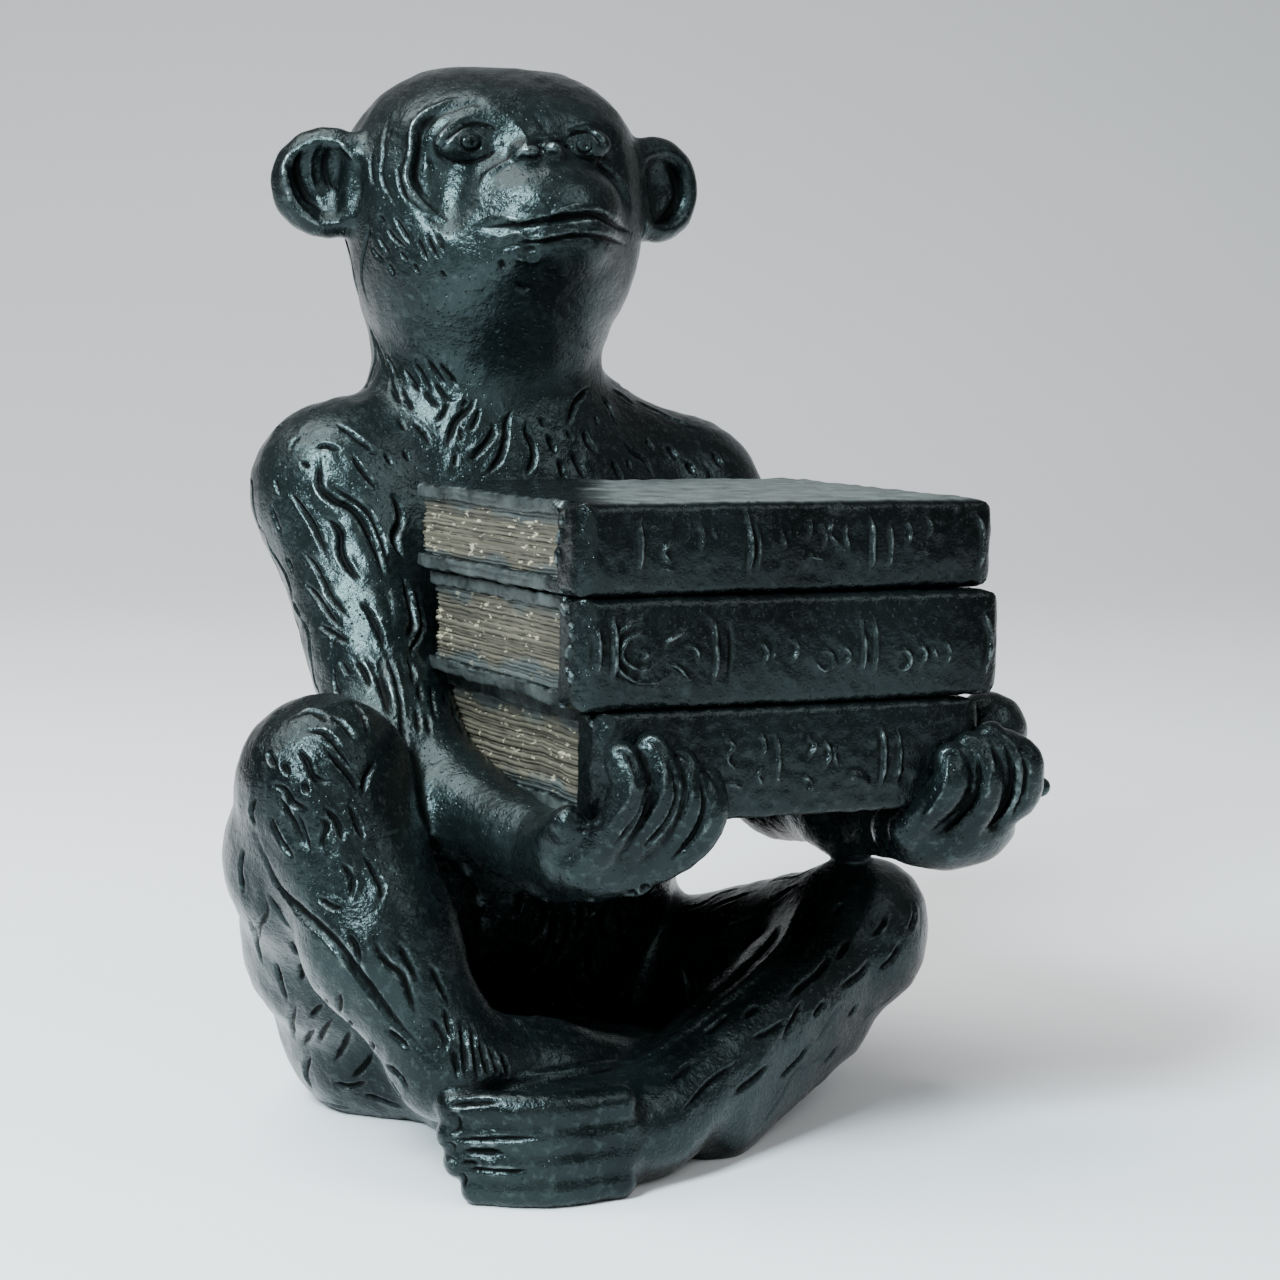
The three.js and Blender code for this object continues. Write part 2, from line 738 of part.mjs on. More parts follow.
const stackPlace = new THREE.Matrix4()
  .makeTranslation(...stackCorner)
  .multiply(new THREE.Matrix4().makeRotationY(stackLean));

function stackedBooks() {
  const seam = 0.01;
  let height = 0;
  return books.map(({ shift, turn, length, depth, thickness }) => {
    const place = stackPlace.clone()
      .multiply(new THREE.Matrix4().makeTranslation(shift, 0, height))
      .multiply(new THREE.Matrix4().makeRotationZ(THREE.MathUtils.degToRad(turn)));
    height += thickness;
    return bookSolid({ length, depth, thickness: thickness + seam }).transform(place.elements);
  });
}

// Assembly

const figure = solidFrom(thinned(surfaceOf(sculptFigure()), figureTriangles));
const ground = new THREE.BoxGeometry(groundSize, groundSize, groundSize).translate(0, 0, -groundSize / 2);
const standing = figure.subtract(solidOf(ground));
const whole = stackedBooks().reduce((sum, next) => sum.add(next), standing);

// The largest closed skin of a mesh, which leaves out small pockets sealed between the books and the hands
function outerSkin({ points, faces }) {
  const owner = Array.from({ length: points.length / 3 }, (_, i) => i);
  const rootOf = (i) => {
    let root = i;
    while (owner[root] !== root) {
      root = owner[root];
    }
    return root;
  };
  for (let n = 0; n < faces.length; n += 3) {
    const roots = [faces[n], faces[n + 1], faces[n + 2]].map(rootOf);
    const least = Math.min(...roots);
    roots.forEach((root) => {
      owner[root] = least;
    });
  }
  const counts = new Map();
  for (let n = 0; n < faces.length; n += 3) {
    const root = rootOf(faces[n]);
    counts.set(root, (counts.get(root) ?? 0) + 1);
  }
  const [largest] = [...counts].sort((a, b) => b[1] - a[1])[0];
  const kept = Array.from(faces).filter((_, n) => rootOf(faces[n - n % 3]) === largest);
  return { points, faces: kept };
}

function meshOf(name, solid) {
  const { vertProperties, triVerts } = solid.getMesh();
  const skin = outerSkin({ points: vertProperties, faces: triVerts });
  const { points, faces } = thinned(skin, 0, shortestEdge);
  const geometry = new THREE.BufferGeometry();
  geometry.setAttribute('position', new THREE.BufferAttribute(new Float32Array(points), 3));
  geometry.setIndex(new THREE.BufferAttribute(new Uint32Array(faces), 1));
  geometry.computeVertexNormals();
  const mesh = new THREE.Mesh(geometry, new THREE.MeshStandardMaterial(casting));
  mesh.name = name;
  return mesh;
}

const monkey = new THREE.Group();
monkey.add(meshOf('monkey_figurine', whole));

export default monkey;
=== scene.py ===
"""A seated monkey that carries a stack of three books on its hands, cast in dark metal.

The sculpted form is worked out in millimetres from named masses, as the solid's is, and
turned into metres when the mesh is handed over.
"""

import math

import bmesh
import bpy
import numpy as np
from mathutils import Matrix, Vector
from mathutils.kdtree import KDTree


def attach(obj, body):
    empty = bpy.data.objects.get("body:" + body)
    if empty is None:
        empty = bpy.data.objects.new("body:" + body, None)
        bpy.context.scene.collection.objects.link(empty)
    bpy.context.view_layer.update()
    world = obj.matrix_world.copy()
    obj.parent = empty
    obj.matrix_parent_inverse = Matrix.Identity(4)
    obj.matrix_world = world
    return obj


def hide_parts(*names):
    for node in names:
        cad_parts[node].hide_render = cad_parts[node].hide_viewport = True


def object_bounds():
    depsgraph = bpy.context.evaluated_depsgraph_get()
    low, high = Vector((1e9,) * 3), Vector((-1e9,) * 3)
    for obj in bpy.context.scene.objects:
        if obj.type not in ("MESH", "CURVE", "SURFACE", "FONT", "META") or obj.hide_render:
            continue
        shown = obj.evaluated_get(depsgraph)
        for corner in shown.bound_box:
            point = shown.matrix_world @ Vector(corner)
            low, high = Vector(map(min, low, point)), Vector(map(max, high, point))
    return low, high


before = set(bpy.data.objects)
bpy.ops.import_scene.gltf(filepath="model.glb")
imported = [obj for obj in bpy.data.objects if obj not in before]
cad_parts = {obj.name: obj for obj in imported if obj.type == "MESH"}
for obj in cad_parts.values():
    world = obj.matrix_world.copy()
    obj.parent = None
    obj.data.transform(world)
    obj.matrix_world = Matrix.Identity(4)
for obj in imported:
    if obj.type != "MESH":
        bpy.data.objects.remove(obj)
cad_low, cad_high = [list(corner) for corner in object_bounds()]
cad_corners = np.array([cad_low, cad_high]) * 1000

MILLIMETRE = 0.001
# How uneven the cast skin is, and the most triangles that each kind of piece is thinned to
UNEVENNESS = 0.12
TRIANGLES = {"monkey": 190000, "book_cover": 95000, "page_block": 60000}
dice = np.random.default_rng(seed=7)


# Camera and lights. The frame's side and the focal length are in pixels of the photograph

FRAME = 1280
FOCAL_LENGTH = 3000
SENSOR = 36
CAMERA_PLACE = (-0.306, -0.655, 0.190)
CAMERA_TILT = math.radians(83.35)
CAMERA_TURN = math.radians(-27.5)


def set_camera():
    camera = bpy.data.objects.new("camera", bpy.data.cameras.new("camera"))
    camera.data.sensor_width = SENSOR
    camera.data.lens = SENSOR * FOCAL_LENGTH / FRAME
    camera.data.clip_start = 0.01
    camera.location = CAMERA_PLACE
    camera.rotation_euler = (CAMERA_TILT, 0, CAMERA_TURN)
    bpy.context.scene.collection.objects.link(camera)
    bpy.context.scene.camera = camera
    return camera


def area_light(name, place, aim, size, power, colour):
    light = bpy.data.lights.new(name, "AREA")
    light.shape = "RECTANGLE"
    light.size, light.size_y = size
    light.energy = power
    light.color = colour
    lamp = bpy.data.objects.new(name, light)
    lamp.location = place
    lamp.rotation_euler = (Vector(aim) - Vector(place)).to_track_quat("-Z", "Y").to_euler()
    bpy.context.scene.collection.objects.link(lamp)


def set_lights():
    chest, far_floor = (0, -0.03, 0.12), (0.4, 1.6, 0.1)
    sky_colour, sky_strength = (0.92, 0.95, 0.97), 0.24
    area_light("window", (-0.66, -0.42, 0.74), chest, (0.26, 0.38), 30, (0.74, 0.93, 1.0))
    area_light("front_fill", (-0.35, -1.05, 0.30), chest, (0.6, 0.6), 1.8, (0.92, 0.99, 0.97))
    area_light("ceiling", (0.5, -0.85, 0.95), chest, (0.6, 0.6), 5, (0.95, 0.98, 1.0))
    area_light("backdrop_light", (-0.5, 0.35, 1.3), far_floor, (1.2, 1.2), 44, (1.0, 1.0, 1.0))
    world = bpy.data.worlds.new("studio")
    world.use_nodes = True
    sky = world.node_tree.nodes["Background"]
    sky.inputs["Color"].default_value = (*sky_colour, 1)
    sky.inputs["Strength"].default_value = sky_strength
    bpy.context.scene.world = world


# Material building

class Value:
    """A shader socket whose arithmetic adds Math nodes."""

    def __init__(self, finish, socket):
        self.finish = finish
        self.socket = socket

    def maths(self, operation, *parts):
        settings = {"operation": operation}
        node = self.finish.node("ShaderNodeMath", settings, dict(enumerate(parts)))
        return Value(self.finish, node.outputs[0])

    def __add__(self, other):
        return self.maths("ADD", self, other)

    def __sub__(self, other):
        return self.maths("SUBTRACT", self, other)

    def __rsub__(self, other):
        return self.maths("SUBTRACT", other, self)

    def __mul__(self, other):
        return self.maths("MULTIPLY", self, other)

    __radd__ = __add__
    __rmul__ = __mul__

    def clipped(self, low, high):
        """From 0 at low to 1 at high, smoothly."""
        settings = {"interpolation_type": "SMOOTHSTEP"}
        node = self.finish.node("ShaderNodeMapRange", settings, {"Value": self, 1: low, 2: high})
        return Value(self.finish, node.outputs["Result"])

    def most(self, other):
        return self.maths("MAXIMUM", self, other)


class Finish:
    """A material whose nodes all come from one method."""

    def __init__(self, name):
        self.material = bpy.data.materials.new(name)
        self.material.use_nodes = True
        self.tree = self.material.node_tree
        self.tree.nodes.clear()
        self.out = self.node("ShaderNodeOutputMaterial", {}, {})
        self.place = self.node("ShaderNodeTexCoord", {}, {}).outputs["Object"]

    def node(self, kind, settings, inputs):
        """A node of a kind, with its settings and the values or links of its sockets."""
        node = self.tree.nodes.new(kind)
        for name, setting in settings.items():
            setattr(node, name, setting)
        for name, given in inputs.items():
            socket = node.inputs[name]
            if isinstance(given, Value):
                given = given.socket
            if isinstance(given, bpy.types.NodeSocket):
                self.tree.links.new(given, socket)
            elif isinstance(given, tuple) and len(given) == 3 and socket.type == "RGBA":
                socket.default_value = (*given, 1)
            else:
                socket.default_value = given
        return node

    def noise(self, scale, detail=4, roughness=0.55, place=None):
        inputs = {"Vector": place or self.place, "Scale": scale, "Detail": detail,
                  "Roughness": roughness}
        return Value(self, self.node("ShaderNodeTexNoise", {}, inputs).outputs[0])

    def cells(self, scale):
        inputs = {"Vector": self.place, "Scale": scale}
        return Value(self, self.node("ShaderNodeTexVoronoi", {}, inputs).outputs["Distance"])

    def attribute(self, name):
        node = self.node("ShaderNodeAttribute", {"attribute_name": name}, {})
        return Value(self, node.outputs["Fac"])

    def mixed(self, share, first, second):
        """From the first colour to the second by a share."""
        inputs = {"Factor": share, 6: first, 7: second}
        node = self.node("ShaderNodeMix", {"data_type": "RGBA"}, inputs)
        return Value(self, node.outputs[2])

    def stretched(self, scales):
        node = self.node("ShaderNodeMapping", {}, {"Vector": self.place, "Scale": scales})
        return node.outputs[0]

    def shader(self, colour, roughness, metallic, height, strength, distance=0.0004):
        """The finished material, with a relief by the height."""
        relief = {"Strength": strength, "Distance": distance, "Height": height}
        bump = self.node("ShaderNodeBump", {}, relief)
        inputs = {"Base Color": colour, "Roughness": roughness, "Metallic": metallic,
                  "Normal": bump.outputs[0]}
        shader = self.node("ShaderNodeBsdfPrincipled", {}, inputs)
        self.tree.links.new(shader.outputs[0], self.out.inputs["Surface"])
        return self.material


# Materials. Colours are linear red, green and blue

CAST_DARK, CAST_LIGHT = (0.0052, 0.0095, 0.010), (0.0185, 0.029, 0.0295)
CAST_GRAIN, CAST_SPECK = (0.038, 0.054, 0.054), (0.13, 0.14, 0.13)
# The pale ridge metal is partly wear and partly painted highlight along the ridges
HOLLOW_BLACK, WORN_METAL_AND_HIGHLIGHT = (0.0025, 0.003, 0.003), (0.16, 0.195, 0.195)
# Grey of settled dust; on the top book's cover it also stands in as painted reflection of the pale
# backdrop
DUST_AND_REFLECTION_GREY = (0.075, 0.086, 0.082)
LEAF_GREYS = (0.036, 0.043, 0.042), (0.078, 0.090, 0.088)
LEAF_BROWNS = (0.052, 0.045, 0.033), (0.135, 0.118, 0.085)
CLEFT_BROWN, LEAF_FLECK = (0.014, 0.014, 0.012), (0.85, 0.76, 0.55)
FLOOR_GREYS = (0.78, 0.79, 0.80), (0.82, 0.82, 0.83)


def patina(name, tone):
    """Near-black metal with a cool satin sheen, dull dark hollows, and ridges lightened partly as
    wear and partly as painted highlight.

    The tone scales the bare metal's colours.
    """
    finish = Finish(name)
    cloud = finish.noise(28, 5)
    rough = finish.noise(130, 4, 0.6)
    grain = finish.noise(480, 4, 0.62)
    speck = finish.noise(1500, 2, 0.6)
    hollow = finish.attribute("hollow")
    ridge = finish.attribute("ridge")
    # Dust share, which on the top book's cover is partly painted reflection
    settled_dust_and_reflection = finish.attribute("dust_and_reflection") * (0.35 + 1.1 * rough)
    deep = (hollow * (0.6 + 0.8 * rough)).clipped(0.15, 0.85)
    # Ridges broken up by grain get the pale metal: partly wear, partly painted highlight
    patchy = (ridge * (0.1 + 1.1 * grain)).clipped(0.42, 1.0)
    dusty = settled_dust_and_reflection.clipped(0.2, 0.9)
    dark, light, fine = (tuple(tone * share for share in colour)
                         for colour in (CAST_DARK, CAST_LIGHT, CAST_GRAIN))
    ground = finish.mixed(cloud.clipped(0.32, 0.68), dark, light)
    ground = finish.mixed(grain.clipped(0.5, 0.8), ground, fine)
    ground = finish.mixed(speck.clipped(0.68, 0.82) * 0.6, ground, CAST_SPECK)
    ground = finish.mixed(deep, ground, HOLLOW_BLACK)
    ground = finish.mixed(settled_dust_and_reflection.clipped(0.25, 0.95), ground, DUST_AND_REFLECTION_GREY)
    colour = finish.mixed(patchy * 0.75, ground, WORN_METAL_AND_HIGHLIGHT)
    roughness = 0.14 + 0.18 * grain + 0.08 * cloud + 0.35 * deep.most(dusty)
    metallic = 0.78 - 0.68 * dusty + 0.15 * deep
    pits = finish.cells(650).clipped(0.0, 0.25)
    height = 0.5 * rough + 0.35 * grain + 0.12 * speck + 0.2 * pits
    return finish.shader(colour, roughness, metallic, height, 0.9, 0.0008)


def leaf_metal():
    """Grey and brown metal of the page edges, dark in the clefts and with bright flecks."""
    finish = Finish("leaf_metal")
    layers = finish.noise(1.0, 3, 0.6, finish.stretched((30, 30, 900)))
    cloud = finish.noise(70, 4)
    grain = finish.noise(900, 3, 0.65)
    chips = finish.noise(1.0, 2, 0.7, finish.stretched((260, 260, 700)))
    hollow = finish.attribute("hollow")
    brown = (finish.attribute("dust_and_reflection") * (0.5 + cloud)).clipped(0.1, 0.9)
    flecks = (chips * (0.7 + 0.6 * cloud)).clipped(0.62, 0.68) * (0.2 + 0.8 * brown)
    pale = layers.clipped(0.3, 0.7)
    grey = finish.mixed(pale, *LEAF_GREYS)
    dusty = finish.mixed(pale, *LEAF_BROWNS)
    ground = finish.mixed(brown, grey, dusty)
    ground = finish.mixed(hollow.clipped(0.1, 0.9) * 0.85, ground, CLEFT_BROWN)
    colour = finish.mixed(flecks, ground, LEAF_FLECK)
    roughness = 0.38 + 0.3 * grain - 0.12 * flecks
    height = 0.7 * layers + 0.4 * grain
    return finish.shader(colour, roughness, 0.5 + 0.4 * flecks, height, 0.7, 0.0005)


def floor_finish():
    finish = Finish("pale_floor")
    colour = finish.mixed(finish.noise(3), *FLOOR_GREYS)
    return finish.shader(colour, 0.7, 0.0, finish.noise(40), 0.05)


# Smooth curves

def smooth_curve(points, bends):
    """A centripetal curve through the points, with an even number of stations between them."""
    points = np.asarray(points, float)
    path = np.vstack([2 * points[0] - points[1], points, 2 * points[-1] - points[-2]])
    stations = []
    for n in range(1, len(path) - 2):
        four = path[n - 1:n + 3]
        gaps = np.sqrt(np.linalg.norm(np.diff(four, axis=0), axis=1))
        before, here, after = np.maximum(gaps, 1e-3)
        p0, p1, p2, p3 = four
        leave = ((p1 - p0) / before - (p2 - p0) / (before + here) + (p2 - p1) / here) * here
        arrive = ((p2 - p1) / here - (p3 - p1) / (here + after) + (p3 - p2) / after) * here
        for t in np.arange(bends) / bends:
            stations.append(p1 + leave * t + (3 * (p2 - p1) - 2 * leave - arrive) * t ** 2
                            + (2 * (p1 - p2) + leave + arrive) * t ** 3)
    stations.append(points[-1])
    return np.array(stations)


# Masses

class Ball:
    """An ellipsoid, turned about Z by an angle in degrees."""

    def __init__(self, centre, radii, turn=0, place=Matrix()):
        self.centre = np.array(place @ Vector(centre))
        self.radii = np.array(radii, float)
        self.axes = np.array(place.to_3x3() @ Matrix.Rotation(math.radians(turn), 3, "Z"))
        self.reach = max(radii)

    def distance(self, points):
        local = (points - self.centre) @ self.axes / self.radii
        level = np.linalg.norm(local, axis=1)
        slope = np.linalg.norm(local / self.radii, axis=1)
        return level * (level - 1) / np.maximum(slope, 1e-9)

    def model(self, bm):
        scale = Matrix.Diagonal((*self.radii, 1))
        matrix = Matrix.Translation(self.centre) @ Matrix(self.axes).to_4x4() @ scale
        bmesh.ops.create_icosphere(bm, subdivisions=3, radius=1, matrix=matrix)


class Limb:
    """A tapered limb between two round ends."""

    def __init__(self, start, start_radius, end, end_radius, place=Matrix()):
        self.start = np.array(place @ Vector(start))
        self.span = np.array(place @ Vector(end)) - self.start
        self.radii = (start_radius, end_radius)
        self.centre = self.start + self.span / 2
        self.reach = np.linalg.norm(self.span) / 2 + max(self.radii)

    def distance(self, points):
        away = points - self.start
        along = np.clip(away @ self.span / (self.span @ self.span), 0, 1)
        away = np.linalg.norm(away - along[:, None] * self.span, axis=1)
        return away - self.radii[0] - along * (self.radii[1] - self.radii[0])

    def model(self, bm):
        length = np.linalg.norm(self.span)
        turn = Vector(self.span).to_track_quat("Z", "Y").to_matrix().to_4x4()
        matrix = Matrix.Translation(self.centre) @ turn
        bmesh.ops.create_cone(bm, cap_ends=True, segments=24, radius1=self.radii[0],
                              radius2=self.radii[1], depth=length, matrix=matrix)
        for share, radius in zip((0, 1), self.radii):
            matrix = Matrix.Translation(self.start + share * self.span)
            bmesh.ops.create_icosphere(bm, subdivisions=2, radius=radius, matrix=matrix)


class Ridge:
    """A rounded ridge or groove along a smooth curve through a few points."""

    def __init__(self, points, radius, place=Matrix(), bends=4):
        stations = smooth_curve(points, bends)
        radii = np.broadcast_to(radius, (len(points),))
        radii = np.interp(np.linspace(0, 1, len(stations)), np.linspace(0, 1, len(points)), radii)
        self.parts = [Limb(a, ra, b, rb, place)
                      for a, ra, b, rb in zip(stations, radii, stations[1:], radii[1:])]
        centres = np.array([part.centre for part in self.parts])
        self.centre = (centres.min(0) + centres.max(0)) / 2
        gaps = np.linalg.norm(centres - self.centre, axis=1)
        self.reach = max(gap + part.reach for gap, part in zip(gaps, self.parts))

    def distance(self, points):
        least = np.full(len(points), 1e9)
        for part in self.parts:
            least = np.minimum(least, part.distance(points))
        return least

    def model(self, bm):
        for part in self.parts:
            part.model(bm)


class Block:
    """A box between two corners, with rounded edges."""

    def __init__(self, low, high, corner, place=Matrix()):
        low, high = np.array(low, float), np.array(high, float)
        self.centre = np.array(place @ Vector((low + high) / 2))
        self.axes = np.array(place.to_3x3())
        self.half = (high - low) / 2
        self.corner = corner
        self.reach = np.linalg.norm(self.half)

    def distance(self, points):
        away = np.abs((points - self.centre) @ self.axes) - self.half + self.corner
        return np.linalg.norm(np.maximum(away, 0), axis=1) + np.minimum(away.max(1), 0) - self.corner


def soft_least(a, b, width):
    near = np.maximum(width - np.abs(a - b), 0) / width
    return np.minimum(a, b) - near * near * width / 4


class Sculpture:
    """Masses added and cut one after the other, each with the width of its crease."""

    def __init__(self):
        self.steps = []

    def add(self, width, *masses):
        self.steps += [(mass, width, False) for mass in masses]

    def cut(self, width, *masses):
        self.steps += [(mass, width, True) for mass in masses]

    def level(self, points, steps=None):
        d = np.full(len(points), 1000.0)
        for mass, width, cuts in self.steps if steps is None else steps:
            bound = np.linalg.norm(points - mass.centre, axis=1) - mass.reach
            near = np.flatnonzero(bound < (width - d if cuts else width + d))
            if len(near):
                old, here = d[near], mass.distance(points[near])
                d[near] = -soft_least(-old, here, width) if cuts else soft_least(old, here, width)
        return d

    def near_steps(self, low, high):
        """The steps that matter within a small box close to the surface."""
        middle = (low + high) / 2
        reach = np.linalg.norm(high - low) / 2
        margin = 8
        return [(mass, width, cuts) for mass, width, cuts in self.steps
                if np.linalg.norm(middle - mass.centre) < mass.reach + reach + width + margin]


def blocks(points, size=16):
    """Groups of the points' numbers, one for each cube of space that holds any."""
    cells = np.floor(points / size).astype(int)
    cells -= cells.min(0)
    keys = cells @ np.array([1, 1000, 1000000])
    order = np.argsort(keys, kind="stable")
    starts = np.flatnonzero(np.diff(keys[order], prepend=-1))
    return np.split(order, starts[1:])


def settled(points, sculpture, rounds=3, longest=1.5):
    """Moves each point on to the sculpture's surface, and gives its outward direction there."""
    points = points.copy()
    outward = np.zeros_like(points)
    step = 0.05
    for group in blocks(points):
        here = points[group]
        steps = sculpture.near_steps(here.min(0), here.max(0))
        for _ in range(rounds):
            stacked = np.concatenate([here] + [here + step * axis for axis in np.eye(3)])
            d, dx, dy, dz = sculpture.level(stacked, steps).reshape(4, -1)
            slope = np.stack([dx - d, dy - d, dz - d], 1) / step
            size = np.maximum(np.linalg.norm(slope, axis=1), 0.3)
            here = here - np.clip(d / size, -longest, longest)[:, None] * slope / size[:, None]
        points[group] = here
        outward[group] = slope / size[:, None]
    return points, outward


# The monkey's form, with the same named values as the solid's

SKULL_CENTRE = (-3.2, 2, 212)
FACE_TURN = math.radians(-8)
head_place = Matrix.Translation(SKULL_CENTRE) @ Matrix.Rotation(FACE_TURN, 4, "Z")

SHOULDER = {"right": (-42.5, 3, 143), "left": (47, 3, 136.5)}
ELBOW = {"right": (-45.5, -34, 90), "left": (59, -32, 72.5)}
FOREARM = {"right": (-40, -60, 77), "left": (59, -60, 71.5)}
FOREARM_RADIUS = {"right": 10, "left": 12}
WRIST = {"right": (-33, -93, 71.5), "left": (58, -94, 71.5)}
UPPER_ARM_RADIUS, ELBOW_RADIUS, WRIST_RADIUS = 19, 14, 10

HIP = {"right": (-32.5, 2, 20), "left": (30, 8, 10)}
HIP_RADIUS = {"right": 25, "left": 23}
THIGH, THIGH_RADIUS = (-52, -25, 44), 24
RAISED_THIGH, RAISED_THIGH_RADIUS = (-67, -44, 66), 20
KNEE = {"right": (-70.5, -55, 84.2), "left": (60, -60, 38)}
KNEE_RADIUS = 18
CALF = {"right": (-65, -72, 52), "left": (48, -62, 23)}
CALF_RADIUS = {"right": 16, "left": 14.6}
ANKLE = {"right": (-54, -84, 27), "left": (-12, -95, 12)}
ANKLE_RADIUS = 12
LEFT_SHIN_END = (8, -85, 8)


def add_trunk(figure):
    seat = Ball((3, 16, 28), (46, 40, 36))
    belly = Ball((3, -3, 76), (38, 42, 50))
    chest = Ball((3, 6, 118), (44, 38, 40))
    shoulders = Limb(SHOULDER["right"], 20, SHOULDER["left"], 20)
    neck = Limb((-1.5, 8, 150), 27, (-6, 4, 186), 26.2)
    left_neck_muscle = Limb((10, 7, 157.5), 16, (46, 4, 139), 17.5)
    figure.add(10, seat)
    figure.add(24, belly, chest)
    figure.add(20, shoulders)
    figure.add(18, neck)
    figure.add(8, left_neck_muscle)


def add_head(figure):
    def at(centre, radii, turn=0):
        return Ball(centre, radii, turn, head_place)

    skull = at((0, 3, 1.5), (36.5, 33, 29))
    jaw = at((0, -4, -15), (31.5, 29.5, 25))
    forehead = at((0, -12, 13), (25, 15.5, 10.5))
    bridge = at((1, -18.5, 8), (11, 10.5, 9))
    upper_lip = at((4.5, -22.5, -4), (19, 18.5, 13.5))
    lower_lip = at((3, -24, -13), (16, 13.5, 7))
    nose = [at((x, -30.2, 9.6), (2.6, 3, 2.1)) for x in (-1.8, 4.9)]
    figure.add(10, skull)
    figure.add(12, jaw)
    figure.add(6, forehead)
    for side in (-1, 1):
        crown = at((1.4 + side * 13, 4, 11), (17.6, 24, 16.2))
        socket = at((side * 14, -34.5, 11.5), (11, 8, 7), side * -20)
        under_eye = at((side * 21.5, -29, 5), (8, 7, 13), side * -30)
        eye = at((side * 14, -22.6, 11.5), (7.4, 4.6, 4.2), side * -20)
        figure.add(8, crown)
        figure.cut(5, socket)
        figure.cut(4, under_eye)
        figure.add(1.5, eye)
    figure.add(5, bridge)
    figure.add(3.5, upper_lip)
    figure.add(8, lower_lip)
    figure.add(2, *nose)


def add_ears(figure):
    for side, height in ((-1, 3), (1, 2.2)):
        turn = side * 24
        cup = Ball((side * 40.8, 0, height), (13.2, 6, 12.8), turn, head_place)
        hollow = Ball((side * 43, -6, height - 0.3), (9.6, 6.6, 9.7), turn, head_place)
        fold_top, fold_end = (side * 34.8, -3, height + 4), (side * 35.8, -3, height - 7)
        figure.add(4, cup)
        figure.cut(1.8, hollow)
        figure.add(2, Limb(fold_top, 2.6, fold_end, 2.6, head_place))


def add_right_leg(figure):
    ankle = ANKLE["right"]
    seat_side = Ball((-40.2, -14, 16), (22.5, 24, 20))
    web_under_knee = Limb((-33, -28, 14), 16, (-38, -62, 17), 11)
    lap_floor = Ball((-4, -52, 3), (36, 34, 18))
    heel = Ball((-32, -82, 18), (16, 11, 14))
    instep = Limb(ankle, ANKLE_RADIUS, (6, -74, 11), 10)
    figure.add(10, Limb(HIP["right"], HIP_RADIUS["right"], THIGH, THIGH_RADIUS))
    figure.add(8, Limb(THIGH, THIGH_RADIUS, RAISED_THIGH, RAISED_THIGH_RADIUS))
    figure.add(8, seat_side, web_under_knee, lap_floor)
    figure.add(8, Limb(RAISED_THIGH, RAISED_THIGH_RADIUS, KNEE["right"], KNEE_RADIUS))
    figure.add(5, Limb(KNEE["right"], KNEE_RADIUS, CALF["right"], CALF_RADIUS["right"]))
    figure.add(5, Limb(CALF["right"], CALF_RADIUS["right"], ankle, ANKLE_RADIUS - 1))
    figure.add(5, heel, instep)


def add_left_leg(figure):
    knee_cap = Ball((66.2, -57, 45), (13, 13, 10.3))
    figure.add(6, Limb(HIP["left"], HIP_RADIUS["left"], KNEE["left"], KNEE_RADIUS - 0.5))
    figure.add(6, knee_cap)
    figure.add(5, Limb(KNEE["left"], KNEE_RADIUS - 3, ANKLE["left"], ANKLE_RADIUS))
    figure.add(5, Limb(CALF["left"], CALF_RADIUS["left"], LEFT_SHIN_END, 11.5))


def add_arms(figure):
    for side in ("right", "left"):
        radius = FOREARM_RADIUS[side]
        figure.add(8, Limb(SHOULDER[side], UPPER_ARM_RADIUS, ELBOW[side], ELBOW_RADIUS))
        figure.add(6, Limb(ELBOW[side], ELBOW_RADIUS, FOREARM[side], radius))
        figure.add(6, Limb(FOREARM[side], radius, WRIST[side], WRIST_RADIUS))


RIGHT_FINGERS = [
    [(-38, 72), (-33.7, 82.6), (-31.7, 90.2), (-32.3, 96)],
    [(-32.4, 74), (-25.3, 81.9), (-23.7, 90.8), (-25.3, 97.5)],
    [(-26.6, 72), (-18.5, 80.1), (-16.9, 87.8), (-18.6, 94)],
    [(-25.5, 70), (-16.2, 77.1), (-12.8, 84.7), (-12.7, 89.5)],
]
LEFT_FINGERS = [
    [(40.6, 74), (44.1, 81.8), (46, 86), (47, 90)],
    [(49.8, 71.7), (53.9, 78.4), (54.8, 85.5), (52.1, 92)],
    [(60.2, 73.5), (63.2, 80.3), (61, 88.8), (57.2, 94)],
    [(63, 75.3), (66, 81.5), (64.5, 89.2), (61.5, 92)],
]
FINGER_DEPTHS, FINGER_RADII = (-114, -121, -123, -121), (4, 4, 4, 3.6)
TOE_TIPS = [(-53.8, -97.5), (-57, -95.8), (-58, -95), (-58, -95)]
TOE_RADIUS, TOE_SPACING, LOWEST_TOE = 4, 5.6, 3.6


def add_hands(figure):
    right_palm = Ball((-31, -106, 73.5), (14, 14, 9.5))
    left_palm = Ball((54, -108, 73), (16.5, 14, 9.7))
    right_thumb = Limb((-38, -100, 74), 6, (-41, -114, 82), 4)
    left_thumb_base = Limb((66, -102, 80), 9, (67, -106, 93), 8.6)
    left_thumb = Limb((72, -104, 80), 5, (81, -106, 79.2), 2.4)
    figure.add(6, right_palm, left_palm)
    for finger in RIGHT_FINGERS + LEFT_FINGERS:
        path = [(x, y, z) for (x, z), y in zip(finger, FINGER_DEPTHS)]
        figure.add(1.6, Ridge(path, FINGER_RADII))
    figure.add(3, right_thumb, left_thumb_base, left_thumb)


